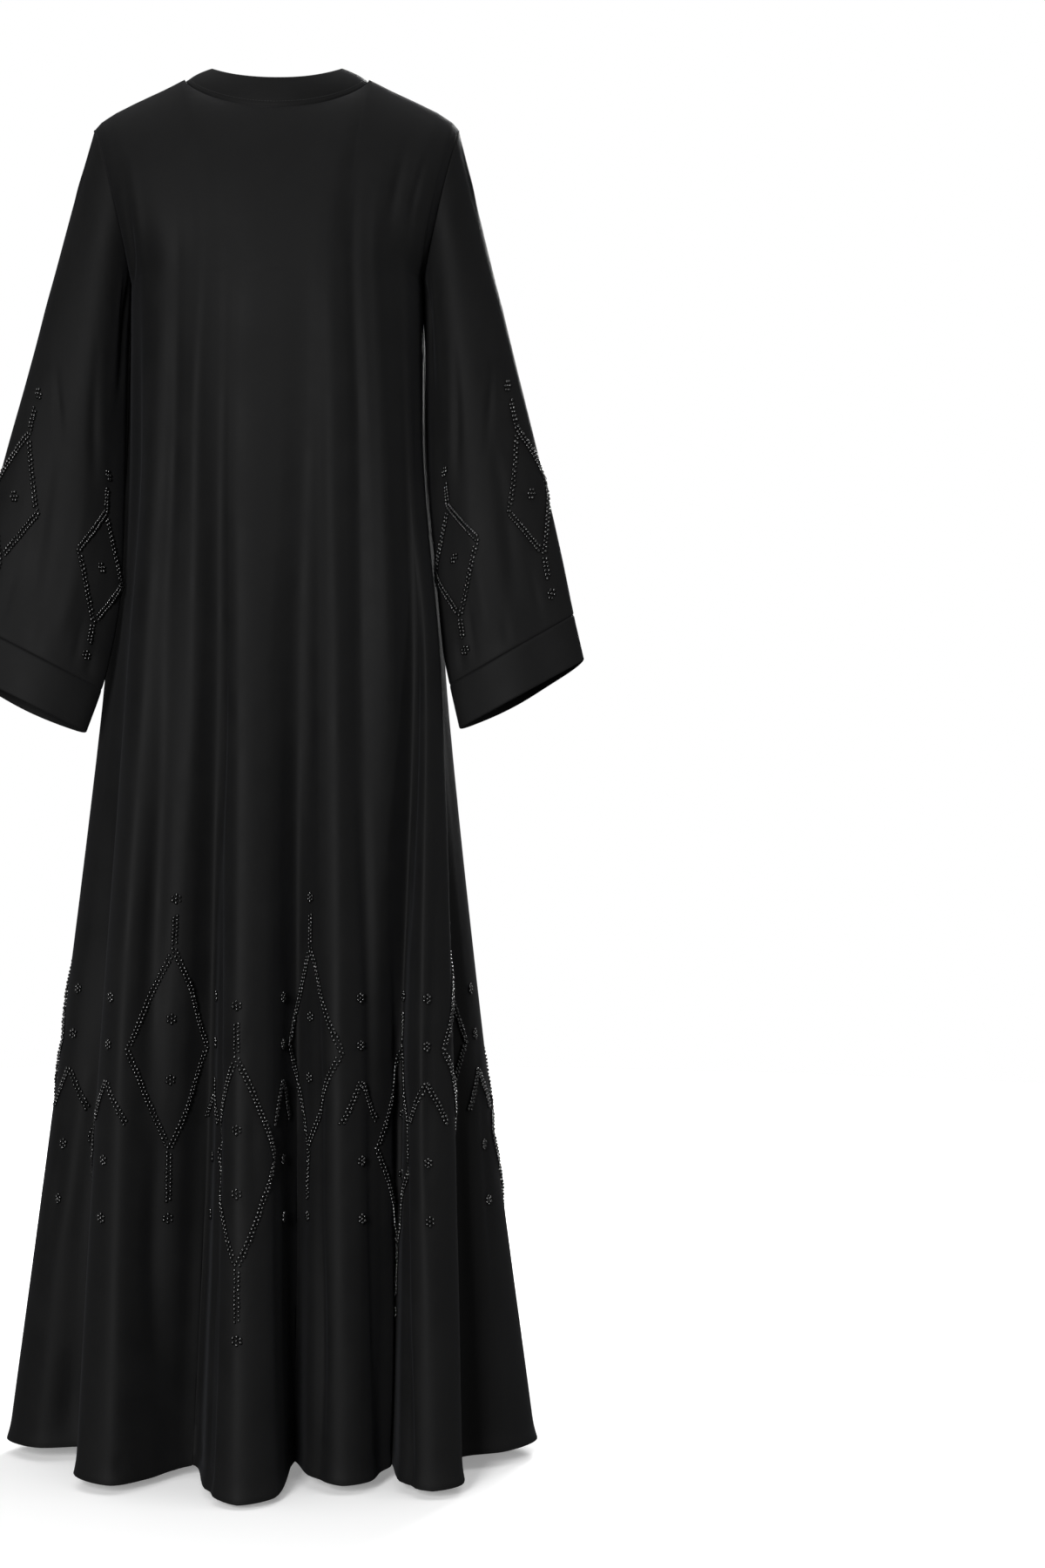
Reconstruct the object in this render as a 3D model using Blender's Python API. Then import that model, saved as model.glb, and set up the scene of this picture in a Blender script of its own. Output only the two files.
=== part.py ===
"""A full-length abaya cloak, hollow, in the pose it has on a general figure.

Metres, +Z up. The origin lies midway between the two high points of the shoulders, where
the neck and shoulder seams meet. +Y is the way the wearer faces and +X is the wearer's right.
Each panel is one closed sheet of cloth with a real wall, drawn from tables of fold lines.
"""

import bmesh
import bpy
import numpy as np

MM = 0.001

# Driving sizes.
CLOTH_WALL = 1.5 * MM
BAND_WALL = 2.0 * MM
SEAM_GAP = 0.3 * MM
BAND_GAP = 0.45 * MM
UNDERARM_Z = -211 * MM
HEM_Z = -1400 * MM
HIGH_POINT_X = 95 * MM
SHOULDER_TIP = (188 * MM, -51 * MM)
UNDERARM_X = 150 * MM
NECK_FOLD_X = 75 * MM
NECK_BACK = (70 * MM, 41.6 * MM)
NECK_FRONT = (75 * MM, 85 * MM)
NECK_DROP_POWER = 0.65
BAND_TOP_SIDE = (68 * MM, 14 * MM)
BAND_TOP_BACK = (62 * MM, -10.6 * MM)
BAND_TOP_FRONT = (56 * MM, -61 * MM)
BAND_CROWN = 1.5 * MM
ARMHOLE_DEPTH = 58 * MM
ARMHOLE_BOW = 3 * MM
CHEST_DEPTH = 105 * MM
SHOULDER_FULLNESS = 2.2
NAPE_FULLNESS = 1.2
SLEEVE_SHIFT = (0.4 * MM, -0.3 * MM)

# Grid fineness.
YOKE_ROWS = 12
SKIRT_ROWS = 11
STEPS_PER_FOLD = 3
SLEEVE_ROWS_PER_STATION = 2
BAND_ROWS = 3

# Heights of the five sections that the fold lines pass through: underarm, waist, hip, knee, hem.
SECTION_Z = (-211, -380, -620, -1000, -1400)

# One row per fold line, from the left side seam across the back to the right side seam.
# Columns: name, (x at underarm, waist, hip, knee, hem), (how far back at the same five),
# how much lower the hem hangs there, all in mm.
BACK_LINES = (
    ("side seam left", (-150, -155, -178, -224, -277), (0, -10, -6, 0, 0), 0),
    ("side panel left", (-147, -148, -166, -209, -246), (26, 22, 24, 34, 40), 0),
    ("recess left", (-140, -138, -153, -171, -190), (52, 50, 53, 50, 38), 0),
    ("flute 1 edge", (-133, -135, -150, -176, -196), (70, 70, 86, 118, 152), 2),
    ("flute 1 crest", (-117, -123, -134, -155, -162), (91, 96, 114, 149, 177), 5),
    ("flute 1 dip", (-98, -102, -111, -126, -127), (99, 104, 116, 136, 149), 5),
    ("flute 1 rise", (-75, -83, -84, -98, -104), (107, 115, 124, 128, 119), 4),
    ("valley A", (-54, -57, -59, -66, -82), (108, 111, 112, 100, 104), 2),
    ("flute 2 flank", (-43, -47, -48, -56, -64), (110, 115, 124, 148, 208), 6),
    ("flute 2 crest", (-31, -36, -37, -39, -38), (112, 118, 132, 178, 233), 10),
    ("flute 2 slope", (0, 2, -8, -9, -4), (112, 116, 128, 166, 213), 8),
    ("valley B", (30, 29, 21, 20, 17), (111, 112, 113, 100, 102), -3),
    ("flute 3 flank", (42, 42, 41, 40, 37), (111, 115, 126, 142, 163), 2),
    ("flute 3 crest", (54, 54, 59, 60, 64), (110, 118, 132, 156, 178), 5),
    ("flute 3 slope", (75, 81, 82, 88, 89), (103, 110, 118, 138, 165), 4),
    ("flute 3 rise", (99, 106, 111, 106, 101), (96, 104, 115, 119, 132), 2),
    ("valley C", (122, 128, 136, 124, 114), (80, 85, 91, 93, 106), -1),
    ("flute 4 flank", (130, 134, 142, 130, 125), (74, 80, 100, 131, 182), 4),
    ("flute 4 crest", (137, 139, 149, 142, 150), (64, 70, 106, 153, 195), 6),
    ("flute 4 edge", (145, 148, 165, 174, 178), (46, 50, 83, 124, 178), 4),
    ("recess right", (147, 149, 163, 173, 182), (32, 34, 56, 78, 84), 0),
    ("side panel right", (149, 151, 167, 199, 232), (16, 12, 24, 46, 56), 0),
    ("side seam right", (150, 156, 175, 215, 267), (0, -10, -6, 0, 0), 0),
)

# From the right side seam to the right front edge. Columns as above, but how far forward.
FRONT_RIGHT_LINES = (
    ("side panel", (148, 171, 175, 205, 247), (30, 38, 40, 46, 44), 0),
    ("recess", (144, 158, 162, 180, 206), (54, 62, 66, 68, 62), 0),
    ("flute 5 edge", (134, 137, 150, 178, 210), (72, 74, 84, 108, 126), 2),
    ("flute 5 crest", (120, 125, 136, 158, 184), (88, 94, 108, 142, 172), 5),
    ("flute 5 slope", (100, 106, 113, 129, 148), (102, 107, 116, 136, 154), 3),
    ("valley D", (86, 90, 93, 101, 114), (108, 110, 114, 120, 124), -2),
    ("flute 6 crest", (75, 76, 77, 80, 86), (112, 116, 128, 158, 188), 5),
    ("flute 6 slope", (58, 58, 59, 60, 64), (117, 121, 130, 154, 176), 4),
    ("valley E", (40, 40, 41, 43, 46), (121, 123, 126, 131, 134), -2),
    ("front fold", (20, 20, 20, 21, 22), (123, 127, 135, 150, 164), 3),
    ("front edge", (1.6, 1.7, 1.9, 2.2, 2.5), (124, 128, 136, 150, 164), 2),
)

# From the left side seam to the left front edge.
FRONT_LEFT_LINES = (
    ("side panel", (-148, -170, -178, -212, -254), (30, 38, 40, 44, 44), 0),
    ("recess", (-144, -158, -165, -188, -214), (54, 62, 66, 68, 62), 0),
    ("flute 8 edge", (-134, -137, -155, -183, -215), (72, 74, 84, 106, 128), 2),
    ("flute 8 crest", (-119, -123, -138, -160, -189), (89, 94, 106, 138, 168), 5),
    ("flute 8 slope", (-99, -103, -111, -126, -148), (103, 107, 115, 132, 150), 3),
    ("valley F", (-88, -90, -94, -101, -112), (108, 110, 113, 118, 120), -2),
    ("flute 9 crest", (-75, -76, -77, -80, -88), (112, 117, 129, 160, 190), 6),
    ("flute 9 slope", (-57, -57, -58, -60, -65), (117, 121, 130, 152, 172), 4),
    ("valley G", (-40, -40, -41, -42, -44), (121, 123, 126, 130, 132), -2),
    ("front fold", (-20, -20, -20, -21, -22), (123, 127, 135, 151, 166), 3),
    ("front edge", (-1.6, -1.7, -1.9, -2.2, -2.5), (124, 128, 136, 150, 164), 2),
)

# The shoulder seam from the high point to the tip. Columns: x, z, mm.
SHOULDER_LINE = ((95, 0), (117, -11), (142, -22.5), (166, -34), (181, -43.5), (188, -51))

# Sleeve sections from armhole to cuff edge. Columns, mm: name, upper edge (x out, z),
# underarm edge (x out, z), centre y, half depth, drop of the front half.
SLEEVE_RIGHT = (
    ("armhole", (188, -51), (150, -211), 0, 58, 0),
    ("upper arm", (201, -108), (152.5, -262), -5, 54, 0),
    ("above elbow", (222, -198), (154, -335), -13, 49, 0),
    ("elbow", (247, -304), (156, -430), -25, 43, 0),
    ("forearm", (273, -415), (162, -510), -36, 37, 2),
    ("wrist", (292, -503), (169, -590), -44, 33, 5),
    ("cuff seam", (302, -553), (175.5, -624), -47, 31, 7),
    ("cuff edge", (312, -598), (185, -667), -50, 30, 9),
)
SLEEVE_LEFT = (
    ("armhole", (188, -51), (150, -211), 0, 58, 0),
    ("upper arm", (205, -112), (152.5, -265), -5, 54, 0),
    ("above elbow", (228, -200), (154, -336), -13, 49, 0),
    ("elbow", (256, -310), (155.5, -430), -25, 43, 0),
    ("forearm", (284, -415), (158, -520), -36, 37, 2),
    ("wrist", (306, -510), (169, -595), -44, 33, 5),
    ("cuff seam", (318, -558), (178, -629), -47, 31, 7),
    ("cuff edge", (329, -604), (193, -671), -50, 30, 9),
)

# Soft lengthwise folds of a sleeve. Columns: name, place round the section (degrees from the
# underarm edge, back positive), half width in degrees, height at the armhole and at the cuff, mm.
SLEEVE_FOLDS = (
    ("back underarm crease", 38, 22, -5, -1.5),
    ("back elbow ridge", 78, 30, 1, 3),
    ("back outer trough", 118, 24, 0, -3),
    ("front underarm crease", -42, 24, -5, -2),
    ("front elbow ridge", -86, 30, 1, 3),
    ("front outer trough", -124, 26, 0, -3),
)


def clear_scene():
    for thing in list(bpy.data.objects):
        bpy.data.objects.remove(thing, do_unlink=True)


def unit(vectors):
    length = np.linalg.norm(vectors, axis=-1, keepdims=True)
    return vectors / np.maximum(length, 1e-12)


def smooth_through(places, values, wanted):
    """A smooth curve through the values that never swings past them."""
    places = np.asarray(places, float)
    values = np.asarray(values, float)
    gaps = np.diff(places)
    slopes = np.diff(values, axis=0) / gaps.reshape((-1,) + (1,) * (values.ndim - 1))
    tangents = np.empty_like(values)
    tangents[0] = slopes[0]
    tangents[-1] = slopes[-1]
    before = slopes[:-1]
    after = slopes[1:]
    same_way = before * after > 0
    total = np.where(same_way, before + after, 1.0)
    tangents[1:-1] = np.where(same_way, 2.0 * before * after / total, 0.0)
    span = int(np.clip(np.searchsorted(places, wanted) - 1, 0, len(gaps) - 1))
    share = (wanted - places[span]) / gaps[span]
    return (
        values[span] * (1 + 2 * share) * (1 - share) ** 2
        + tangents[span] * gaps[span] * share * (1 - share) ** 2
        + values[span + 1] * share**2 * (3 - 2 * share)
        + tangents[span + 1] * gaps[span] * share**2 * (share - 1)
    )


def chain_of_lines():
    """All fold lines once round, from the left front edge by the back to the right front edge."""
    places = []
    dips = []
    for rows, way in (
        (FRONT_LEFT_LINES[::-1], 1),
        (BACK_LINES, -1),
        (FRONT_RIGHT_LINES, 1),
    ):
        for _, across, out, dip in rows:
            places.append([(x, way * y) for x, y in zip(across, out)])
            dips.append(dip)
    return np.array(places, float) * MM, np.array(dips, float) * MM


LINES, HEM_DIPS = chain_of_lines()
SIDE_LEFT = len(FRONT_LEFT_LINES)
SIDE_RIGHT = SIDE_LEFT + len(BACK_LINES) - 1
LAST_LINE = len(LINES) - 1
STATIONS = -np.array(SECTION_Z, float) * MM


def through_lines(values, columns):
    """A curve through one value or point per fold line, at places counted in fold lines."""
    gaps = np.sqrt(np.linalg.norm(np.diff(values, axis=0), axis=1))
    slopes = np.diff(values, axis=0) / gaps[:, None]
    tangents = np.empty_like(values)
    tangents[0] = slopes[0]
    tangents[-1] = slopes[-1]
    weight = gaps[1:, None] + gaps[:-1, None]
    tangents[1:-1] = (slopes[:-1] * gaps[1:, None] + slopes[1:] * gaps[:-1, None]) / weight
    span = np.clip(np.floor(columns).astype(int), 0, len(gaps) - 1)
    share = (columns - span)[:, None]
    reach = gaps[span][:, None]
    return (
        values[span] * (1 + 2 * share) * (1 - share) ** 2
        + tangents[span] * reach * share * (1 - share) ** 2
        + values[span + 1] * share**2 * (3 - 2 * share)
        + tangents[span + 1] * reach * share**2 * (share - 1)
    )


def along_section(z, columns):
    """Points of the section at height z, at places counted in fold lines."""
    knots = smooth_through(STATIONS, np.swapaxes(LINES, 0, 1), -z)
    flat = through_lines(knots, columns)
    down = (UNDERARM_Z - z) / (UNDERARM_Z - HEM_Z)
    dip = np.interp(columns, np.arange(len(HEM_DIPS)), HEM_DIPS)
    return np.column_stack([flat, z - dip * down**2])


def neck_place(share, depth, drop, half_width, side_z):
    """A point of a neck curve: share is -1 and 1 at the high points and 0 at the middle."""
    across = 0.5 * share + 0.5 * np.sin(share * np.pi / 2)
    left = np.clip(1 - across**2, 0, 1)
    x = half_width * across
    y = depth * np.sqrt(left)
    z = side_z - drop * left**NECK_DROP_POWER
    return np.stack([x, y, z], axis=-1)


def top_edge(base, way):
    """Where each column ends above: on the shoulder seam or on the neck seam."""
    x = base[:, 0]
    share = np.clip(x / NECK_FOLD_X, -1, 1)
    depth, drop = NECK_BACK if way < 0 else NECK_FRONT
    edge = neck_place(share, way * depth, drop, HIGH_POINT_X, 0.0)
    seam_x = np.array([p[0] for p in SHOULDER_LINE]) * MM
    seam_z = np.array([p[1] for p in SHOULDER_LINE]) * MM
    outside = np.abs(x) > NECK_FOLD_X
    scale = (SHOULDER_TIP[0] - HIGH_POINT_X) / (UNDERARM_X - NECK_FOLD_X)
    reach = HIGH_POINT_X + (np.abs(x) - NECK_FOLD_X) * scale
    edge[outside, 0] = (np.sign(x) * reach)[outside]
    edge[outside, 1] = 0.0
    edge[outside, 2] = np.interp(reach, seam_x, seam_z)[outside]
    return edge


def yoke_rows(base, slopes, way, share_up):
    """One row of the part above the underarm, at a share of the height, for one panel.

    slopes are how fast the skirt below spreads, so that the two run on without a crease.
    """
    edge = top_edge(base, way)
    v = share_up
    height = (edge[:, 2] - base[:, 2])[:, None]
    beside_arm = np.clip(1 - np.abs(base[:, 1]) / CHEST_DEPTH, 0, 1)
    near_neck = np.clip(np.abs(edge[:, 1]) / NECK_BACK[0], 0, 1)
    power = SHOULDER_FULLNESS + (NAPE_FULLNESS - SHOULDER_FULLNESS) * near_neck
    fall = np.clip(1 - v**SHOULDER_FULLNESS, 0, 1) ** (1 / power)
    round_arm = 2 * np.sqrt(np.clip(v * (1 - v), 0, 1))
    run_on = slopes * height * v * (1 - v) ** 2 * (1 - beside_arm[:, None] ** 2)
    y = edge[:, 1] + (base[:, 1] - edge[:, 1]) * fall + run_on[:, 1]
    soften = 3 * (1 - beside_arm) * max(0.0, 1 - 2 * v) ** 2
    y = y + way * ARMHOLE_DEPTH * beside_arm * round_arm ** (1 + soften)
    straight = beside_arm**2
    across = v * straight + v * v * (1.6 - 0.6 * v) * (1 - straight)
    x = base[:, 0] + (edge[:, 0] - base[:, 0]) * across + run_on[:, 0]
    x = x - np.sign(x) * ARMHOLE_BOW * beside_arm * 4 * v * (1 - v)
    z = base[:, 2] + (edge[:, 2] - base[:, 2]) * v
    return np.column_stack([x, y, z])


def yoke_shares():
    return (1 - np.cos(np.pi * np.arange(YOKE_ROWS + 1) / YOKE_ROWS)) / 2


def panel_grid(first, last, way):
    """A body panel between two places of the chain, rows from the hem up."""
    columns = np.linspace(first, last, (last - first) * STEPS_PER_FOLD + 1)
    heights = np.linspace(HEM_Z, UNDERARM_Z, SKIRT_ROWS + 1)
    rows = [along_section(z, columns) for z in heights[:-1]]
    base = along_section(UNDERARM_Z, columns)
    slopes = (base - along_section(UNDERARM_Z - MM, columns)) / MM
    for v in yoke_shares():
        rows.append(yoke_rows(base, slopes, way, v))
    return np.array(rows)


def grid_normals(grid, wrap=False):
    """Outward normals of a grid whose rows go up and whose columns go round the wearer."""
    if wrap:
        across = np.roll(grid, -1, axis=1) - np.roll(grid, 1, axis=1)
    else:
        across = np.gradient(grid, axis=1)
    up = np.gradient(grid, axis=0)
    return unit(np.cross(unit(across), unit(up)))


def shoulder_normals(edge):
    """The normal on a shoulder seam lies in the plane of the seam, square to it."""
    run = np.gradient(edge, axis=0)
    run[:, 1] = 0
    square = np.column_stack([-run[:, 2], np.zeros(len(run)), run[:, 0]])
    square = unit(square)
    return square * np.where(square[:, 2:] < 0, -1.0, 1.0)


def sleeve_station(table, place, side):
    """The named sizes of a sleeve at a place counted in stations."""
    numbers = [
        (*upper, *under, centre, depth, drop)
        for _, upper, under, centre, depth, drop in table
    ]
    sizes = smooth_through(np.arange(len(table)), np.array(numbers, float) * MM, place)
    upper = np.array([side * sizes[0], sizes[4], sizes[1]])
    under = np.array([side * sizes[2], sizes[4], sizes[3]])
    return upper, under, sizes[5], sizes[6]


def sleeve_ring(table, place, side, half_turns):
    """One ring. half_turns run from 0 at the underarm, by the back at 90, to 180 at the top."""
    upper, under, depth, drop = sleeve_station(table, place, side)
    turn = np.radians(half_turns)
    v = (1 - np.cos(turn)) / 2
    ring = under + (upper - under) * v[:, None]
    ring[:, 1] -= depth * np.sin(turn)
    ring[:, 2] -= drop * np.clip(-np.sin(turn), 0, 1)
    bow = ARMHOLE_BOW * max(0.0, 1 - place)
    ring[:, 0] -= side * bow * 4 * v * (1 - v)
    swell = sleeve_swell(place / (len(table) - 1), half_turns)
    heart = (upper + under) / 2
    outward = unit(ring - heart)
    ring += outward * swell[:, None]
    ring[:, 0] += side * SLEEVE_SHIFT[0]
    ring[:, 2] += SLEEVE_SHIFT[1]
    return ring


def sleeve_swell(along, half_turns):
    """How far the soft folds stand out. They start from nothing at the armhole seam."""
    start = np.clip(along / 0.15, 0, 1)
    start = start * start * (3 - 2 * start)
    swell = np.zeros(len(half_turns))
    for _, place, half_width, at_arm, at_cuff in SLEEVE_FOLDS:
        away = (half_turns - place + 180) % 360 - 180
        bell = np.exp(-((away / half_width) ** 2) * 1.5)
        height = (at_arm + (at_cuff - at_arm) * along) * MM
        swell += start * height * bell
    return swell


def ring_turns():
    """Places round a sleeve that match the rows of the body panels at the armhole."""
    back = 180.0 * np.arange(YOKE_ROWS + 1) / YOKE_ROWS
    front = -back[-2:0:-1]
    return np.concatenate([back, front])


def sleeve_grid(table, first, last, side, rows):
    """Rings from the armhole down, as rows."""
    turns = ring_turns()
    return np.array([sleeve_ring(table, p, side, turns) for p in np.linspace(first, last, rows + 1)])


def sheet_solid(name, outer, normals, wall, wrap=False):
    """One closed body: the outer grid, the inner grid a wall away, and the rims between."""
    inner = outer - normals * (wall[..., None] if np.ndim(wall) else wall)
    rows, columns = outer.shape[:2]
    points = np.concatenate([outer.reshape(-1, 3), inner.reshape(-1, 3)])
    under = rows * columns
    ends = columns if wrap else columns - 1
    faces = []
    for i in range(rows - 1):
        for j in range(ends):
            a = i * columns + j
            b = i * columns + (j + 1) % columns
            c = b + columns
            d = a + columns
            faces.append((a, b, c, d))
            faces.append((under + d, under + c, under + b, under + a))
    for j in range(ends):
        a = j
        b = (j + 1) % columns
        faces.append((b, a, under + a, under + b))
        top = (rows - 1) * columns
        faces.append((top + a, top + b, under + top + b, under + top + a))
    if not wrap:
        for i in range(rows - 1):
            a = i * columns
            d = a + columns
            faces.append((a, d, under + d, under + a))
            e = a + columns - 1
            f = e + columns
            faces.append((f, e, under + e, under + f))
    return make_object(name, points, faces)


def make_object(name, points, faces):
    """One named object with its own cloth material, its faces pointing out."""
    built = bmesh.new()
    corners = [built.verts.new(point) for point in points]
    for face in faces:
        built.faces.new([corners[index] for index in face]).smooth = True
    bmesh.ops.recalc_face_normals(built, faces=built.faces)
    if built.calc_volume(signed=True) < 0:
        bmesh.ops.reverse_faces(built, faces=built.faces)
    mesh = bpy.data.meshes.new(name)
    built.to_mesh(mesh)
    built.free()
    mesh.materials.append(crepe_material(name))
    made = bpy.data.objects.new(name, mesh)
    bpy.context.scene.collection.objects.link(made)
    return made


def crepe_material(name):
    """Dense matt black crepe."""
    material = bpy.data.materials.new("black_crepe_" + name)
    material.use_nodes = True
    shader = material.node_tree.nodes["Principled BSDF"]
    shader.inputs["Base Color"].default_value = (0.012, 0.012, 0.013, 1.0)
    shader.inputs["Roughness"].default_value = 0.6
    shader.inputs["Metallic"].default_value = 0.0
    return material


def pull_back(edge, inside, amount):
    """An edge moved a little way into its own panel."""
    return edge + unit(inside - edge) * amount


def main():
    clear_scene()
    front_left = panel_grid(0, SIDE_LEFT, 1)
    back = panel_grid(SIDE_LEFT, SIDE_RIGHT, -1)
    front_right = panel_grid(SIDE_RIGHT, LAST_LINE, 1)
    sleeves = {}
    for side, table in ((-1, SLEEVE_LEFT), (1, SLEEVE_RIGHT)):
        seam = len(table) - 2
        arm = sleeve_grid(table, 0, seam, side, seam * SLEEVE_ROWS_PER_STATION)
        cuff = sleeve_grid(table, seam, seam + 1, side, SLEEVE_ROWS_PER_STATION)
        sleeves[side] = (arm, cuff)

    normals = {
        "front_left": grid_normals(front_left),
        "back": grid_normals(back),
        "front_right": grid_normals(front_right),
    }
    under_row = SKIRT_ROWS

    # Side seams: both panels share one normal on each row up to the underarm.
    for one, one_column, other, other_column in (
        ("front_left", -1, "back", 0),
        ("back", -1, "front_right", 0),
    ):
        shared = unit(
            normals[one][: under_row + 1, one_column]
            + normals[other][: under_row + 1, other_column]
        )
        normals[one][: under_row + 1, one_column] = shared
        normals[other][: under_row + 1, other_column] = shared

    # Armholes: body and sleeve share a normal, which turns downwards at the underarm.
    half = YOKE_ROWS + 1
    arm_normals = {}
    for side in (-1, 1):
        arm = sleeves[side][0]
        way_round = arm[::-1] if side > 0 else arm[::-1, ::-1]
        arm_normal = grid_normals(way_round, wrap=True)[::-1]
        if side < 0:
            arm_normal = arm_normal[:, ::-1]
        heart = arm.mean(axis=1, keepdims=True)
        facing = np.sum(arm_normal * (arm - heart), axis=-1).mean()
        arm_normal = arm_normal * np.sign(facing)
        arm_normals[side] = arm_normal
        back_column = 0 if side < 0 else -1
        front_name = "front_left" if side < 0 else "front_right"
        front_column = -1 if side < 0 else 0
        downwards = np.array([0, 0, -0.15])
        back_rim = normals["back"][under_row:, back_column]
        front_rim = normals[front_name][under_row:, front_column]
        ring = arm_normal[0]
        shared_back = unit(back_rim + ring[:half] + downwards)
        front_order = [0] + list(range(len(ring) - 1, half - 1, -1)) + [half - 1]
        shared_front = unit(front_rim + ring[front_order] + downwards)
        shared_front[0] = shared_back[0]
        shared_front[-1] = shared_back[-1]
        normals["back"][under_row:, back_column] = shared_back
        normals[front_name][under_row:, front_column] = shared_front
        ring[:half] = shared_back
        ring[front_order[1:-1]] = shared_front[1:-1]

    # Shoulder seams: square to the seam.
    grids = {"front_left": front_left, "back": back, "front_right": front_right}
    for name, grid in grids.items():
        base_x = np.abs(grid[under_row, :, 0])
        on_seam = base_x >= NECK_FOLD_X - 1e-9
        tip = base_x >= UNDERARM_X - 1e-9
        square = shoulder_normals(grid[-1])
        put = on_seam & ~tip
        normals[name][-1, put] = square[put]

    # The neck band, built on the panels' own neck points.
    lower, upper, panel_normals, owners = [], [], [], []
    for name, way in (("front_left", 1), ("back", -1), ("front_right", 1)):
        grid = grids[name]
        base_x = grid[under_row, :, 0]
        share = base_x / NECK_FOLD_X
        keep = np.where(np.abs(share) <= 1 + 1e-6)[0]
        top_depth, top_z = BAND_TOP_BACK if way < 0 else BAND_TOP_FRONT
        side_x, side_z = BAND_TOP_SIDE
        place = neck_place(np.clip(share[keep], -1, 1), way * top_depth, side_z - top_z, side_x, side_z)
        for k, j in enumerate(keep):
            if lower and np.linalg.norm(grid[-1, j] - lower[-1]) < 1e-6:
                owners[-1].append((name, j))
                continue
            lower.append(grid[-1, j].copy())
            upper.append(place[k])
            owners.append([(name, j)])
    lower = np.array(lower)
    upper = np.array(upper)
    rise = unit(upper - lower)
    run = np.gradient(lower, axis=0)
    band_out = unit(np.cross(run, rise))
    middle = np.array([0, 0, -0.02])
    band_out *= np.sign(np.sum(band_out * (lower - middle), axis=1)).mean()
    band_rows = []
    for share in np.linspace(0, 1, BAND_ROWS + 1):
        crown = BAND_CROWN * 4 * share * (1 - share)
        band_rows.append(lower + (upper - lower) * share + band_out * crown)
    band = np.array(band_rows)
    band_normals = grid_normals(band)
    if np.sum(band_normals * band_out[None]) < 0:
        band_normals = -band_normals
    for k, shared_by in enumerate(owners):
        mean = band_normals[0, k].copy()
        for name, j in shared_by:
            mean = mean + normals[name][-1, j]
        mean = unit(mean)
        band_normals[0, k] = mean
        for name, j in shared_by:
            normals[name][-1, j] = mean
    over_seam = unit(np.cross(run, band_normals[0]))
    over_seam *= np.sign(np.sum(over_seam * rise, axis=1, keepdims=True))
    band[0] = lower + over_seam * BAND_GAP

    # Leave half a seam gap on each side of every seam between body panels.
    half_gap = SEAM_GAP / 2
    for name, grid in grids.items():
        way = -1 if name == "back" else 1
        seam_columns = {"front_left": [-1], "back": [0, -1], "front_right": [0]}[name]
        for column in seam_columns:
            inside = grid[: under_row + 1, column + (1 if column == 0 else -1)]
            edge = grid[: under_row + 1, column]
            grid[: under_row + 1, column] = pull_back(edge, inside, half_gap)
        base_x = np.abs(grid[under_row, :, 0])
        on_seam = base_x >= NECK_FOLD_X - 1e-9
        grid[-1, on_seam, 1] = way * half_gap

    for name, grid in grids.items():
        sheet_solid(name, grid, normals[name], CLOTH_WALL)
    sheet_solid("neck_band", band, band_normals, BAND_WALL)
    for side, word in ((-1, "left"), (1, "right")):
        arm, cuff = sleeves[side]
        arm_normal = arm_normals[side]
        cuff_normal = grid_normals(cuff, wrap=True)
        facing = np.sum(cuff_normal * (cuff - cuff.mean(axis=1, keepdims=True)))
        cuff_normal = cuff_normal * np.sign(facing)
        shared = unit(arm_normal[-1] + cuff_normal[0])
        arm_normal[-1] = shared
        cuff_normal[0] = shared
        arm[-1] = pull_back(arm[-1], arm[-2], half_gap)
        cuff[0] = pull_back(cuff[0], cuff[1], half_gap)
        sheet_solid("sleeve_" + word, arm, arm_normal, CLOTH_WALL, wrap=True)
        sheet_solid("cuff_" + word, cuff, cuff_normal, CLOTH_WALL, wrap=True)


main()
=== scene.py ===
# %% [markdown]
# # A beaded abaya cloak
# An abaya is a long loose over-dress that opens down the front. This one is black crepe with a
# low band collar, wide straight sleeves with plain cuffs, and jet beads sewn on by hand.
# It is empty and stands as if worn, seen from the back. Every cloth piece is a thin shell, and
# the beads, stitches, light and floor are added round it.

# %% Open the frame
import math

import bpy
import numpy as np
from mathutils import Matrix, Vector, kdtree, noise


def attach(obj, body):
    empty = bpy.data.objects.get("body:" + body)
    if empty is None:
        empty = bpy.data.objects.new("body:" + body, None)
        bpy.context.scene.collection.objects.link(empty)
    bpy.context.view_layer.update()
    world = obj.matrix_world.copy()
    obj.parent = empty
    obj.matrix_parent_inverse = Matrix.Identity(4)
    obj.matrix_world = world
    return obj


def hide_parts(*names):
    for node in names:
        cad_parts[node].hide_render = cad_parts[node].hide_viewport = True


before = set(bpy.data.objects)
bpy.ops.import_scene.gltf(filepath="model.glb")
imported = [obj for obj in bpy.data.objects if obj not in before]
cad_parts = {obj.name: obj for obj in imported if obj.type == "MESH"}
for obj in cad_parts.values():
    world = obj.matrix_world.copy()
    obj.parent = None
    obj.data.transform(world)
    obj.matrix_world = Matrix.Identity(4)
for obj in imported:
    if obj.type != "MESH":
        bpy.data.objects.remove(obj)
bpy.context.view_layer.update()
print("nodes:", ", ".join(sorted(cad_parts)))

# %% [markdown]
# ## The camera
# A garment shot from eye height bends its hem and shoulders in perspective. A level camera at
# half the height of the cloak keeps the sides straight. The lens is shifted instead of
# turned, so the cloak sits left in the frame and the uprights stay upright.

# %% Set the camera
IMAGE_WIDTH = 1200
IMAGE_HEIGHT = 1800
CENTRE_PIXEL = 318
CAMERA_DISTANCE = 2.925
CAMERA_HEIGHT = -0.725

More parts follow.
